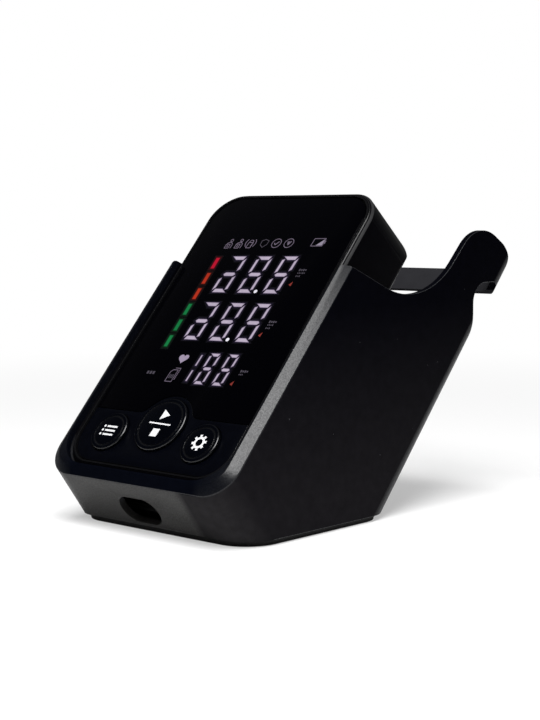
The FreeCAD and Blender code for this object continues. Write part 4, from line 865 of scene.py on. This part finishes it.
@dataclass
class SoftenedPiece:
    """A CAD piece copied as one skin, with its sharp moulded edges rounded."""

    node: str
    edge: float = 0.3 * MM
    steps: int = 2
    sharp: float = math.radians(28.0)
    flat: float = math.radians(0.4)
    planes: tuple[tuple[Vector, float], ...] = ()
    plane_edge: float = 0.0
    plane_reach: float = 0.15 * MM
    rolled: bool = False
    roll_gain: float = 1.3
    least_side: float = 0.15
    least_back: float = 0.05
    least_turn: float = 0.1

    def build(self) -> bpy.types.Object:
        """Merge the copy, join coplanar facets, round sharp edges and shade it smooth.

        Returns:
            The piece, which replaces the node.
        """
        mesh = bmesh.new()
        mesh.from_mesh(frame["nodes"][self.node].data)
        bmesh.ops.remove_doubles(mesh, verts=mesh.verts, dist=SKIN_WELD)
        bmesh.ops.dissolve_limit(mesh, angle_limit=self.flat, use_dissolve_boundaries=False,
                                 verts=mesh.verts, edges=mesh.edges, delimit=set())
        rounding = mesh.faces.layers.float.new(EDGE)
        corners = [edge for edge in mesh.edges if self._is_sharp(edge) and self._on_plane(edge)]
        self._round(mesh, corners, rounding, self.plane_edge, 2 * self.steps)
        corners = [edge for edge in mesh.edges if self._is_sharp(edge)]
        self._round(mesh, corners, rounding, self.edge, self.steps)
        for face in mesh.faces:
            face.smooth = True
            face[rounding] = max(face[rounding], self._roll(face.normal))
        for edge in mesh.edges:
            edge.smooth = not self._is_sharp(edge)
        piece = add_piece(self.node + "_skin", mesh, NODE_FINISHES[self.node], body_of(self.node))
        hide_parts(self.node)
        return piece

    @staticmethod
    def _round(mesh: bmesh.types.BMesh, corners: list[bmesh.types.BMEdge],
               rounding: bmesh.types.BMLayerItem, amount: float, steps: int) -> None:
        """Round some edges and mark the new faces.

        Args:
            mesh: The skin.
            corners: The edges to round.
            rounding: The attribute that marks a rounded edge.
            amount: How far from the edge the rounding starts.
            steps: Number of facets across it.
        """
        if corners and amount > 0:
            rounded = bmesh.ops.bevel(mesh, geom=corners, offset=amount, offset_type="OFFSET",
                                      affect="EDGES", segments=steps, profile=0.5, material=-1,
                                      clamp_overlap=True)
            for face in rounded["faces"]:
                face[rounding] = 1.0

    def _roll(self, normal: Vector) -> float:
        """Measure how far a face turns away from a flank towards the back or the top.

        Args:
            normal: The face's direction.

        Returns:
            The turn from 0 to 1, or 0 on a piece without rolled flanks.
        """
        turned = math.sqrt(max(1.0 - normal.x ** 2, 0.0))
        flank = abs(normal.x) >= self.least_side and normal.y >= self.least_back
        if not self.rolled or not flank or turned < self.least_turn:
            return 0.0
        return min(self.roll_gain * turned, 1.0)

    def _is_sharp(self, edge: bmesh.types.BMEdge) -> bool:
        """True where two faces meet at more than the sharp angle."""
        return len(edge.link_faces) == 2 and edge.calc_face_angle(0.0) > self.sharp

    def _on_plane(self, edge: bmesh.types.BMEdge) -> bool:
        """True where the edge lies on one of the planes that get the wider rounding."""
        return any(all(abs(vertex.co.dot(way) - level) < self.plane_reach for vertex in edge.verts)
                   for way, level in self.planes)


def look_out(faces: Iterable[bmesh.types.BMFace]) -> None:
    """Turn faces so that they look out of the glass.

    Args:
        faces: Faces that lie flat on the sloping face.
    """
    for face in faces:
        face.normal_update()
        if face.normal.dot(FACE.out) < 0:
            face.normal_flip()


@dataclass
class FaceArt:
    """Thin flat shapes on a plane of the sloping face; outlines are in millimetres on it."""

    level: float
    thickness: float = 0.03 * MM
    border: float = 0.0
    tilt: float = 0.0
    shapes: list[list[Point]] = field(default_factory=list)

    def polygon(self, points: Sequence[Point]) -> "FaceArt":
        """Add one outline and return this art."""
        self.shapes.append(list(points))
        return self

    def bar(self, start: Point, end: Point, width: float) -> "FaceArt":
        """Add a straight stroke.

        Args:
            start: The middle of its one end.
            end: The middle of its other end.
            width: Stroke width.

        Returns:
            This art, for chaining.
        """
        a, b = Vector(start), Vector(end)
        along = b - a
        side = Vector((-along.y, along.x)).normalized() * width / 2
        return self.polygon([tuple(a - side), tuple(b - side), tuple(b + side), tuple(a + side)])

    def arc(self, centre: Point, radius: float, width: float, start: float, stop: float,
            steps: int) -> "FaceArt":
        """Add a curved stroke as a chain of short bars.

        Args:
            centre: Middle of the circle.
            radius: Radius of the stroke's middle line.
            width: Stroke width.
            start: First angle in degrees, from x towards y.
            stop: Last angle in degrees.
            steps: Number of bars.

        Returns:
            This art, for chaining.
        """
        turn = math.radians(stop - start) / steps
        first = math.radians(start)
        for i in range(steps):
            quad = []
            for angle, reach in ((i, -1), (i + 1, -1), (i + 1, 1), (i, 1)):
                a = first + angle * turn
                r = radius + reach * width / 2
                quad.append((centre[0] + r * math.cos(a), centre[1] + r * math.sin(a)))
            self.polygon(quad)
        return self

    def disc(self, centre: Point, radius: float, sides: int) -> "FaceArt":
        """Add a small disc.

        Args:
            centre: Its middle.
            radius: Its radius.
            sides: Number of corners.

        Returns:
            This art, for chaining.
        """
        return self.polygon([(centre[0] + radius * math.cos(2 * math.pi * i / sides),
                              centre[1] + radius * math.sin(2 * math.pi * i / sides))
                             for i in range(sides)])

    def outline(self, points: Sequence[Point], width: float) -> "FaceArt":
        """Add a closed line.

        Args:
            points: The points that it goes through.
            width: Stroke width.

        Returns:
            This art, for chaining.
        """
        for i, point in enumerate(points):
            self.bar(points[i - 1], point, width)
        return self

    def laid(self, mesh: bmesh.types.BMesh, shape: Sequence[Point]) -> list[bmesh.types.BMVert]:
        """Lay the corners of one outline on the face.

        Args:
            mesh: The mesh that gets them.
            shape: The outline.

        Returns:
            The new corners, in order.
        """
        place = FACE.matrix()
        return [mesh.verts.new(place @ Vector((x * MM, (y + self.tilt * x) * MM, self.level)))
                for x, y in shape]

    def mesh(self) -> bmesh.types.BMesh:
        """Extrude every outline into a thin closed plate, with an inset top if there is a border.

        Returns:
            The new mesh, in the part's frame.
        """
        mesh = bmesh.new()
        core = mesh.verts.layers.float.new(CORE)
        for shape in self.shapes:
            mesh.faces.new(self.laid(mesh, shape))
        lifted = bmesh.ops.extrude_face_region(mesh, geom=mesh.faces[:])
        moved = [item for item in lifted["geom"] if isinstance(item, bmesh.types.BMVert)]
        tops = [item for item in lifted["geom"] if isinstance(item, bmesh.types.BMFace)]
        bmesh.ops.translate(mesh, vec=FACE.out * self.thickness, verts=moved)
        if self.border > 0:
            bmesh.ops.inset_individual(mesh, faces=tops, thickness=self.border * MM,
                                       use_even_offset=True)
            for top in tops:
                for vertex in top.verts:
                    vertex[core] = 1.0
        bmesh.ops.remove_doubles(mesh, verts=mesh.verts, dist=ART_WELD)
        bmesh.ops.recalc_face_normals(mesh, faces=mesh.faces)
        return mesh

    def build(self, name: str, finish: Finish, body: str, slot: str) -> bpy.types.Object:
        """Make the art a piece.

        Args:
            name: The piece's name.
            finish: Its finish.
            body: The body that carries it.
            slot: Not used.

        Returns:
            The new object.
        """
        piece = add_piece(name, self.mesh(), finish, body)
        return piece


@dataclass
class GlowArt(FaceArt):
    """Flat skirts round shapes, for light that fades away from them on the glass."""

    reach: float = 1.3
    sharpest: float = 0.75

    def mesh(self) -> bmesh.types.BMesh:
        """Grow a skirt round every outline, which has to be convex.

        Returns:
            The new mesh, in the part's frame.
        """
        mesh = bmesh.new()
        core = mesh.verts.layers.float.new(CORE)
        for shape in self.shapes:
            ring = self.laid(mesh, shape)
            for vertex in ring:
                vertex[core] = 1.0
            mesh.faces.new(ring)
        look_out(mesh.faces)
        inner = mesh.faces[:]
        border = [edge for edge in mesh.edges if edge.is_boundary]
        grown = bmesh.ops.extrude_edge_only(mesh, edges=border)
        outer = {item for item in grown["geom"] if isinstance(item, bmesh.types.BMVert)}
        self._spread(outer, core)
        bmesh.ops.delete(mesh, geom=inner, context="FACES_ONLY")
        look_out(mesh.faces)
        return mesh

    def _spread(self, outer: set[bmesh.types.BMVert], core: bmesh.types.BMLayerItem) -> None:
        """Move the skirts' outer corners away from their shapes and make them dark.

        Args:
            outer: The corners, which still lie on the shapes' own.
            core: The attribute that the glow reads.
        """
        moves = {}
        for vertex in outer:
            runs = [edge.other_vert(vertex).co - vertex.co for edge in vertex.link_edges
                    if edge.other_vert(vertex) in outer]
            back, ahead = runs[0].normalized(), runs[1].normalized()
            half = back.angle(ahead) / 2
            length = self.reach * MM / max(math.sin(half), self.sharpest)
            moves[vertex] = (back + ahead).normalized() * -length
        for vertex, move in moves.items():
            vertex.co += move
            vertex[core] = 0.0


# ---------------------------------------------------------------- display
@dataclass(frozen=True)
class DigitForm:
    """Bars of a seven-bar digit, sized for the largest one and scaled down for the others."""

    height: float = 17.7
    level_bar: float = 1.75
    upright_bar: float = 1.25
    gap: float = 0.75

    def outlines(self, width: float, height: float) -> list[list[Point]]:
        """Outlines of one upright digit.

        Args:
            width: The digit's width.
            height: The digit's height.

        Returns:
            The upper left, top and upper right bars, the same three turned half round, and the
            middle bar.
        """
        size = height / self.height
        bar, side, gap = self.level_bar * size, self.upright_bar * size, self.gap * size
        middle = height / 2
        upper = [
            [(0, middle + gap), (side, middle + bar / 2 + gap), (side, height - bar / 2 - gap / 2),
             (0, height - bar)],
            [(0, height), (width - gap, height), (width - gap - side / 2, height - bar),
             (bar + gap, height - bar)],
            [(width, height - bar / 2), (width - side, height - bar - gap),
             (width - side, middle + bar / 2 + gap), (width, middle + bar + gap)],
        ]
        lower = [[(width - x, height - y) for x, y in shape] for shape in upper]
        ends = (gap, width - gap)
        return upper + lower + [[(ends[0], middle), (ends[0] + bar / 2, middle + bar / 2),
                                 (ends[1] - bar / 2, middle + bar / 2), (ends[1], middle),
                                 (ends[1] - bar / 2, middle - bar / 2),
                                 (ends[0] + bar / 2, middle - bar / 2)]]


@dataclass
class DisplayFace:
    """Lit digits, level bars and dim pictograms of the display."""

    form: DigitForm = DigitForm()
    lean: float = math.tan(math.radians(3.0))
    tilt: float = 0.02
    rows: tuple[float, float] = (86.2, 63.6)
    digits_left: float = -15.7
    pitch: float = 12.95
    digit_size: Point = (7.6, 17.7)
    small_row: float = 44.0
    small_left: float = 2.2
    small_pitch: float = 9.1
    small_size: Point = (5.2, 13.9)
    one_left: float = -2.1
    one_width: float = 0.8
    one_end: float = 1.0
    point_radius: float = 0.8
    point_left: float = 3.4
    point_sides: int = 20
    bar_left: float = -23.2
    bar_bottom: float = 59.8
    bar_pitch: float = 7.6
    bar_size: Point = (1.9, 5.4)
    border: float = 0.3
    glow_reach: float = 1.3
    icon_row: float = 110.4
    stroke: float = 0.29
    bold: float = 0.42
    user_places: tuple[float, ...] = (-20.9, -15.7)
    cuff_place: float = -9.9
    shield: tuple[Point, ...] = ((-4.6, 1.3), (-3.0, 1.9), (-1.1, 1.3), (-1.3, -0.6),
                                 (-2.9, -2.0), (-4.5, -0.7))
    shield_stroke: float = 0.9
    ring_radius: float = 2.15
    tick_place: float = 3.3
    tick: tuple[Stroke, ...] = ((-1.0, 0.1, -0.3, -0.8), (-0.3, -0.8, 1.1, 0.8))
    dial_place: float = 9.5
    dial: tuple[Stroke, ...] = ((-0.8, 0.9, -0.1, -0.9), (-0.1, -0.9, 0.9, 0.9),
                                (0.05, 0.9, -0.1, -0.9))
    battery_sides: Point = (20.9, 26.3)
    battery_ends: Point = (108.9, 112.5)
    heart_place: Point = (-9.4, 54.9)
    heart_scale: Point = (0.150, 0.142)
    heart_width: float = 16.0
    heart_waves: tuple[float, ...] = (13.0, -5.0, -2.0, -1.0)
    heart_sides: int = 36
    page_place: Point = (-12.1, 44.3)
    page: tuple[Point, ...] = ((0, 0), (3.3, 0), (3.3, 5.3), (1.0, 5.3), (0, 4.3))
    next_page: tuple[Stroke, ...] = ((4.1, 0.9, 4.1, 6.1), (4.1, 6.1, 1.6, 6.1))
    page_lines: tuple[Stroke, ...] = ((0.85, 1.5, 0.85, 3.2), (1.65, 1.5, 1.65, 3.2),
                                      (2.45, 1.5, 2.45, 3.2))
    page_line_width: float = 0.45
    unit_places: tuple[Point, ...] = ((22.0, 97.4), (21.8, 73.2), (21.6, 50.9))
    unit_counts: tuple[tuple[int, ...], ...] = ((4, 5, 3), (4, 4, 3), (4, 3))
    block_sizes: Point = (0.62, 0.42)
    block_heights: tuple[float, ...] = (1.7, 1.2, 1.5, 1.0)
    block_gap: float = 0.34
    block_line: float = 1.45
    name_place: Point = (-23.6, 47.7)
    name_pitch: float = 1.5
    name_size: Point = (1.0, 1.3)
    pointer_places: tuple[Point, ...] = ((21.7, 90.7), (21.0, 67.2), (20.7, 45.4))
    printed: float = 0.02 * MM
    glow_level: float = 0.008 * MM

    def build(self) -> None:
        """Build the lit shapes, their glow and the pictograms."""
        digits = self.digit_shapes()
        self.lit("lit_digits", digits, LILAC_LIT)
        self.glow("digit_glow", digits, VIOLET_GLOW)
        points = self.art()
        for row in self.rows:
            middle = (self.digits_left + 2 * self.pitch - self.point_left, row + self.point_radius)
            points.disc(middle, self.point_radius, self.point_sides)
        self.show("lit_points", points, WHITE_LIT)
        self.level_bars()
        self.user_signs()
        self.cuff_sign()
        self.state_signs()
        self.battery_sign()
        self.pulse_heart()
        self.page_signs()
        self.unit_blocks()
        self.row_pointers()

    def art(self) -> FaceArt:
        """Empty art that lies on the glass, square to the display's own rows."""
        return FaceArt(self.printed, tilt=self.tilt)

    def show(self, name: str, art: FaceArt, finish: Finish) -> None:
        """Build art that the diffusers light."""
        art.build(name, finish, "monitor", "diffuser_violet")

    def lit(self, name: str, shapes: list[list[Point]], finish: LitFinish) -> None:
        """Build lit shapes that are dimmer along their borders."""
        art = FaceArt(self.printed, border=self.border, tilt=self.tilt, shapes=shapes)
        self.show(name, art, finish)

    def glow(self, name: str, shapes: list[list[Point]], finish: GlowFinish) -> None:
        """Lay a fading skirt round lit shapes."""
        art = GlowArt(self.glow_level, tilt=self.tilt, shapes=shapes, reach=self.glow_reach)
        art.build(name, finish, "monitor", "window_black")

    def leaning(self, corner: Point, shape: Sequence[Point]) -> list[Point]:
        """Shear an upright outline by the display's lean and lay its origin at a corner."""
        return [(corner[0] + x + y * self.lean, corner[1] + y) for x, y in shape]

    def digit_shapes(self) -> list[list[Point]]:
        """Lay out all lilac bars: two rows of three digits, and the small last row.

        Returns:
            The bars' outlines.
        """
        shapes: list[list[Point]] = []
        for row in self.rows:
            for i in range(3):
                bars = self.form.outlines(*self.digit_size)
                corner = (self.digits_left + i * self.pitch, row)
                shapes += [self.leaning(corner, bar) for bar in (bars[1:] if i == 0 else bars)]
        for i in range(2):
            corner = (self.small_left + i * self.small_pitch, self.small_row)
            shapes += [self.leaning(corner, bar) for bar in self.form.outlines(*self.small_size)]
        half = self.small_size[1] / 2
        for low in (self.one_end, half + self.one_end):
            high = low + half - 2 * self.one_end
            bar = [(0, low), (self.one_width, low), (self.one_width, high), (0, high)]
            shapes.append(self.leaning((self.one_left, self.small_row), bar))
        return shapes

    def level_bar(self, index: int) -> list[Point]:
        """Lay out one level bar.

        Args:
            index: Its place, counted from the bottom.

        Returns:
            Its outline.
        """
        width, height = self.bar_size
        low = index * self.bar_pitch
        left, bottom = self.bar_left, self.bar_bottom + low
        return [(left, bottom), (left + width, bottom), (left + width, bottom + height),
                (left, bottom + height)]

    def level_bars(self) -> None:
        """Six bars beside the digits: three green, two orange and one red."""
        for name, finish, glow, indices in (("green", GREEN_LIT, GREEN_GLOW, (0, 1, 2)),
                                            ("orange", ORANGE_LIT, ORANGE_GLOW, (3, 4)),
                                            ("red", RED_LIT, RED_GLOW, (5,))):
            bars = [self.level_bar(i) for i in indices]
            self.lit("level_" + name, bars, finish)
            self.glow(name + "_glow", bars, glow)

    def user_signs(self) -> None:
        """Two small figures behind a box, one for each user."""
        signs = self.art()
        y = self.icon_row
        for x in self.user_places:
            signs.arc((x + 0.5, y + 1.55), 0.62, self.stroke, 0, 360, 14)
            signs.arc((x + 0.2, y - 0.9), 1.55, self.stroke, 10, 175, 12)
            signs.outline([(x - 1.5, y - 2.3), (x + 0.5, y - 2.3), (x + 0.6, y - 0.3),
                           (x - 1.4, y - 0.3)], self.stroke)
            signs.bar((x - 0.45, y - 1.75), (x - 0.4, y - 0.85), self.bold)
            signs.bar((x + 1.5, y - 2.3), (x + 1.75, y - 0.8), self.stroke)
        self.show("user_signs", signs, DIM_LILAC)

    def cuff_sign(self) -> None:
        """A wrapped cuff between two waves."""
        x, y = self.cuff_place, self.icon_row
        sign = self.art()
        sign.outline([(x - 1.3, y - 2.2), (x + 0.9, y - 2.2), (x + 1.2, y + 0.5),
                      (x - 1.0, y + 0.5)], self.stroke)
        sign.arc((x + 0.15, y + 0.7), 0.95, self.stroke, 0, 180, 10)
        sign.bar((x + 0.75, y - 1.6), (x + 0.95, y + 0.1), self.stroke)
        for low in (-45, 135):
            sign.arc((x, y + 0.2), 2.55, self.stroke, low, low + 90, 8)
        self.show("cuff_sign", sign, DIM_LILAC)

    def state_signs(self) -> None:
        """A shield, a tick in a ring and a dial in a ring."""
        y = self.icon_row
        shield = self.art()
        shield.outline([(across, y + along) for across, along in self.shield],
                       self.stroke * self.shield_stroke)
        self.show("shield_sign", shield, DIM_GREY)
        rings = self.art()
        for x, strokes in ((self.tick_place, self.tick), (self.dial_place, self.dial)):
            rings.arc((x, y), self.ring_radius, self.stroke, 0, 360, 32)
            for x0, y0, x1, y1 in strokes:
                rings.bar((x + x0, y + y0), (x + x1, y + y1), self.bold)
        self.show("ring_signs", rings, DIM_LILAC)

    def battery_sign(self) -> None:
        """A battery outline with its right half filled below the diagonal."""
        (left, right), (low, high) = self.battery_sides, self.battery_ends
        sign = self.art()
        sign.outline([(left, low), (right, low), (right + 0.2, high), (left + 0.2, high)],
                     self.stroke)
        sign.bar((right + 0.45, low + 1.1), (right + 0.5, high - 1.1), 0.6)
        self.show("battery_outline", sign, DIM_LILAC)
        charge = self.art()
        charge.polygon([(right - 3.1, low + 0.3), (right - 0.25, low + 0.3),
                        (right - 0.1, high - 0.3)])
        self.show("battery_charge", charge, LILAC_LIT_PLAIN)

    def pulse_heart(self) -> None:
        """A heart beside the small digits."""
        heart = []
        for i in range(self.heart_sides):
            turn = 2 * math.pi * i / self.heart_sides
            across = self.heart_width * math.sin(turn) ** 3
            along = sum(wave * math.cos((k + 1) * turn) for k, wave in enumerate(self.heart_waves))
            heart.append((across * self.heart_scale[0], along * self.heart_scale[1]))
        art = self.art()
        art.polygon(self.leaning(self.heart_place, heart))
        self.show("pulse_heart", art, HEART_LIT)

    def page_signs(self) -> None:
        """A page with short lines on it, and the corner of the page behind it."""
        pages = self.art()
        pages.outline(self.leaning(self.page_place, self.page), self.stroke)
        self.page_strokes(pages, self.next_page, self.stroke)
        self.show("page_sign", pages, DIM_LILAC)
        marks = self.art()
        self.page_strokes(marks, self.page_lines, self.page_line_width)
        self.show("page_marks", marks, DIM_GREY)

    def page_strokes(self, art: FaceArt, strokes: tuple[Stroke, ...], width: float) -> None:
        """Add leaning strokes at the page's place.

        Args:
            art: The art that gets them.
            strokes: Their ends, measured from the page's corner.
            width: Stroke width.
        """
        for x0, y0, x1, y1 in strokes:
            start, end = self.leaning(self.page_place, [(x0, y0), (x1, y1)])
            art.bar(start, end, width)

    def unit_blocks(self) -> None:
        """Rows of tiny blocks in place of unit names, and three blocks left of the last row."""
        blocks = self.art()
        for (left, low), counts in zip(self.unit_places, self.unit_counts):
            for line, count in enumerate(counts):
                size = self.block_sizes[0] if line == 0 else self.block_sizes[1]
                for i in range(count):
                    x = left + i * (size + self.block_gap)
                    y = low - line * self.block_line
                    height = self.block_heights[(i + line) % len(self.block_heights)]
                    blocks.bar((x, y), (x + size, y), size * height)
        left, y = self.name_place
        length, height = self.name_size
        for i in range(3):
            x = left + i * self.name_pitch
            blocks.bar((x, y), (x + length, y), height)
        self.show("unit_blocks", blocks, DIM_GREY)

    def row_pointers(self) -> None:
        """An orange pointer by each row."""
        pointers = self.art()
        for x, y in self.pointer_places:
            pointers.polygon([(x - 0.75, y - 0.3), (x + 0.45, y - 0.95), (x + 0.6, y + 1.15)])
        self.show("row_pointers", pointers, POINTER_LIT)


# ---------------------------------------------------------------- buttons
@dataclass
class ButtonLegends:
    """White signs printed on the three caps."""

    row_middle: float = -1.0
    start_y: float = 25.4
    side_y: float = 19.9
    side_x: float = 23.2
    cap_rise: float = 0.9 * MM
    ink: float = 0.02 * MM
    ink_gap: float = 0.01 * MM
    divider: Point = (5.4, 0.1)
    divider_width: float = 0.6
    list_pitch: float = 1.75
    list_lean: float = 0.18
    list_ends: Point = (-1.9, 3.3)
    list_stroke: float = 0.75
    dot_left: float = 3.1
    dot_radius: float = 0.5
    dot_sides: int = 14
    gear_radius: float = 1.95
    gear_stroke: float = 0.95
    gear_sides: int = 36
    teeth: int = 8
    tooth_turn: float = 10.0
    tooth_ends: Point = (2.3, 3.3)
    tooth_width: float = 1.0

    def art(self) -> FaceArt:
        """Empty art that lies on the caps."""
        return FaceArt(self.cap_rise + self.ink_gap, self.ink)

    def build(self) -> None:
        """Print the start, memory and settings signs."""
        self.start_sign()
        self.memory_sign()
        self.settings_sign()

    def start_sign(self) -> None:
        """A dividing line with a start triangle above it and a stop square below."""
        x, y = self.row_middle, self.start_y
        half, drop = self.divider
        sign = self.art()
        sign.bar((x - half, y + drop), (x + half, y - drop), self.divider_width)
        sign.polygon([(x - 1.5, y + 1.7), (x + 2.6, y + 3.9), (x - 1.2, y + 6.1)])
        sign.polygon([(x - 2.0, y - 5.5), (x + 1.4, y - 5.5), (x + 1.7, y - 2.2),
                      (x - 1.7, y - 2.2)])
        sign.build("start_stop_sign", LEGEND_WHITE, "start_button", "reflector_white")

    def memory_sign(self) -> None:
        """Three list lines with their dots."""
        left, right = self.list_ends
        sign = self.art()
        for i in (-1, 0, 1):
            x = self.row_middle - self.side_x + i * self.list_lean
            y = self.side_y + i * self.list_pitch
            sign.bar((x + left, y), (x + right, y), self.list_stroke)
            sign.disc((x - self.dot_left, y), self.dot_radius, self.dot_sides)
        sign.build("memory_sign", LEGEND_WHITE, "memory_button", "reflector_white")

    def settings_sign(self) -> None:
        """A small gear wheel."""
        middle = (self.row_middle + self.side_x, self.side_y)
        sign = self.art()
        sign.arc(middle, self.gear_radius, self.gear_stroke, 0, 360, self.gear_sides)
        for i in range(self.teeth):
            angle = math.radians(360 / self.teeth * i + self.tooth_turn)
            way = Vector((math.cos(angle), math.sin(angle)))
            start, end = (tuple(Vector(middle) + way * reach) for reach in self.tooth_ends)
            sign.bar(start, end, self.tooth_width)
        sign.build("settings_sign", LEGEND_WHITE, "settings_button", "reflector_white")


# ---------------------------------------------------------------- studio
@dataclass
class Studio:
    """Floor, world, lamps and camera."""

    lens: float = 76.475
    sensor: float = 36.0
    camera_place: Point3 = (0.3908, -0.405764, 0.11244)
    yaw: float = 42.40
    pitch: float = 5.436
    roll: float = -0.245
    ambient: float = 0.22
    mirrored: float = 0.1
    floor_radius: float = 6.0
    floor_sides: int = 96
    paper: float = 0.86
    fade_reach: Point = (0.06, 0.75)
    fade_share: Point = (0.42, 1.0)
    key_target: Point3 = (0.0, 0.0, 0.06)
    key_direction: Point3 = (0.24, -0.38, 0.89)
    key_distance: float = 0.95
    key_size: Point = (0.62, 0.62)
    key_power: float = 16.0

    def build(self) -> None:
        """Build everything that isn't the object."""
        self.floor()
        self.world()
        self.key_lamp()
        self.camera()

    def background_share(self, tree: bpy.types.NodeTree) -> bpy.types.NodeSocket:
        """Make the share of the white background that a ray sees.

        Camera and transmission rays see all of it, and glossy rays a little.

        Args:
            tree: The node tree to work in.

        Returns:
            A value socket from 0 to 1.
        """
        path = tree.nodes.new("ShaderNodeLightPath")
        total = arithmetic(tree, "MULTIPLY", path.outputs["Is Glossy Ray"], self.mirrored)
        for name in ("Is Camera Ray", "Is Transmission Ray"):
            total = arithmetic(tree, "MAXIMUM", total, path.outputs[name])
        return total

    def floor(self) -> None:
        """A pale floor that keeps the shadow near the object and turns white far from it."""
        mesh = bmesh.new()
        bmesh.ops.create_circle(mesh, cap_ends=True, segments=self.floor_sides,
                                radius=self.floor_radius)
        data = bpy.data.meshes.new("floor")
        mesh.to_mesh(data)
        mesh.free()
        floor = bpy.data.objects.new("floor", data)
        bpy.context.scene.collection.objects.link(floor)
        data.materials.append(self.floor_paper())

    def floor_paper(self) -> bpy.types.Material:
        """Mix matt paper with white light that takes over away from the object.

        Returns:
            The floor's material.
        """
        material = bpy.data.materials.new("floor_paper")
        material.use_nodes = True
        tree = material.node_tree
        tree.nodes.clear()
        paper = tree.nodes.new("ShaderNodeBsdfDiffuse")
        paper.inputs["Color"].default_value = (self.paper, self.paper, self.paper, 1.0)
        white = tree.nodes.new("ShaderNodeEmission")
        place = tree.nodes.new("ShaderNodeTexCoord")
        away = tree.nodes.new("ShaderNodeVectorMath")
        away.operation = "LENGTH"
        tree.links.new(place.outputs["Object"], away.inputs[0])
        fade = tree.nodes.new("ShaderNodeMapRange")
        fade.interpolation_type = "SMOOTHSTEP"
        fade.inputs["From Min"].default_value, fade.inputs["From Max"].default_value = self.fade_reach
        fade.inputs["To Min"].default_value, fade.inputs["To Max"].default_value = self.fade_share
        tree.links.new(away.outputs["Value"], fade.inputs["Value"])
        share = arithmetic(tree, "MULTIPLY", fade.outputs[0], self.background_share(tree))
        mix = tree.nodes.new("ShaderNodeMixShader")
        tree.links.new(share, mix.inputs[0])
        tree.links.new(paper.outputs[0], mix.inputs[1])
        tree.links.new(white.outputs[0], mix.inputs[2])
        output = tree.nodes.new("ShaderNodeOutputMaterial")
        tree.links.new(mix.outputs[0], output.inputs["Surface"])
        return material

    def world(self) -> None:
        """Dim room light, and white for the rays that see the background."""
        world = bpy.data.worlds.new("studio")
        bpy.context.scene.world = world
        world.use_nodes = True
        tree = world.node_tree
        background = tree.nodes["Background"]
        background.inputs["Color"].default_value = (1.0, 1.0, 1.0, 1.0)
        path = tree.nodes.new("ShaderNodeLightPath")
        unseen = arithmetic(tree, "SUBTRACT", 1.0, path.outputs["Is Glossy Ray"])
        strength = tree.nodes.new("ShaderNodeMapRange")
        tree.links.new(arithmetic(tree, "MULTIPLY", unseen, self.ambient), strength.inputs["To Min"])
        strength.inputs["To Max"].default_value = 1.0
        tree.links.new(self.background_share(tree), strength.inputs["Value"])
        tree.links.new(strength.outputs[0], background.inputs["Strength"])

    def key_lamp(self) -> None:
        """One large soft lamp overhead."""
        way = Vector(self.key_direction).normalized()
        lamp = bpy.data.lights.new("key_softbox", "AREA")
        lamp.shape = "RECTANGLE"
        lamp.size, lamp.size_y = self.key_size
        lamp.energy = self.key_power
        holder = bpy.data.objects.new("key_softbox", lamp)
        holder.location = Vector(self.key_target) + way * self.key_distance
        holder.rotation_mode = "QUATERNION"
        holder.rotation_quaternion = way.to_track_quat("Z", "Y")
        bpy.context.scene.collection.objects.link(holder)

    def camera(self) -> None:
        """The camera, at the angle and distance that the product is shown from."""
        yaw, pitch = math.radians(self.yaw), math.radians(self.pitch)
        forward = Vector((-math.sin(yaw) * math.cos(pitch), math.cos(yaw) * math.cos(pitch),
                          -math.sin(pitch)))
        right = Vector((math.cos(yaw), math.sin(yaw), 0.0))
        up = right.cross(forward)
        turn = Matrix((right, up, -forward)).transposed()
        data = bpy.data.cameras.new("camera")
        data.lens = self.lens
        data.sensor_width = self.sensor
        holder = bpy.data.objects.new("camera", data)
        holder.rotation_mode = "QUATERNION"
        roll = Matrix.Rotation(math.radians(self.roll), 3, "Z")
        holder.rotation_quaternion = (turn @ roll).to_quaternion()
        holder.location = self.camera_place
        bpy.context.scene.collection.objects.link(holder)
        bpy.context.scene.camera = holder


# ---------------------------------------------------------------- the whole object
LEFT_AND_RIGHT = Vector((1.0, 0.0, 0.0))
DOCK_SIDE = 46.0 * MM
GLASS_LEVEL = FACE.origin.dot(FACE.out)
SOFTENED = (
    SoftenedPiece("dock_shell", 0.35 * MM, plane_edge=0.9 * MM, rolled=True,
                  planes=((LEFT_AND_RIGHT, DOCK_SIDE), (LEFT_AND_RIGHT, -DOCK_SIDE),
                          (FACE.out, GLASS_LEVEL))),
    SoftenedPiece("dock_base_plate", 0.2 * MM),
    SoftenedPiece("base_pad", 0.2 * MM), SoftenedPiece("cradle_tray", 0.3 * MM),
    SoftenedPiece("rear_housing", 0.2 * MM, rolled=True),
    SoftenedPiece("front_frame", 0.2 * MM),
    SoftenedPiece("display_window", 0.15 * MM), SoftenedPiece("button_panel", 0.12 * MM),
    SoftenedPiece("start_button", 0.1 * MM), SoftenedPiece("memory_button", 0.1 * MM),
    SoftenedPiece("settings_button", 0.1 * MM), SoftenedPiece("battery_cover", 0.25 * MM),
    SoftenedPiece("monitor_feet", 0.25 * MM),
)


def dress_nodes() -> None:
    """Give every CAD piece its finish."""
    for name, finish in NODE_FINISHES.items():
        data = frame["nodes"][name].data
        data.materials.clear()
        data.materials.append(material_of(finish))
    LOG.info("dressed %d nodes", len(NODE_FINISHES))


def main() -> None:
    """Build every piece in order."""
    logging.basicConfig(level=logging.INFO, format="%(name)s %(message)s")
    bpy.context.scene.view_settings.view_transform = "Standard"
    dress_nodes()
    for piece in SOFTENED:
        piece.build()
    DisplayFace().build()
    ButtonLegends().build()
    Studio().build()


if __name__ == "__main__":
    main()
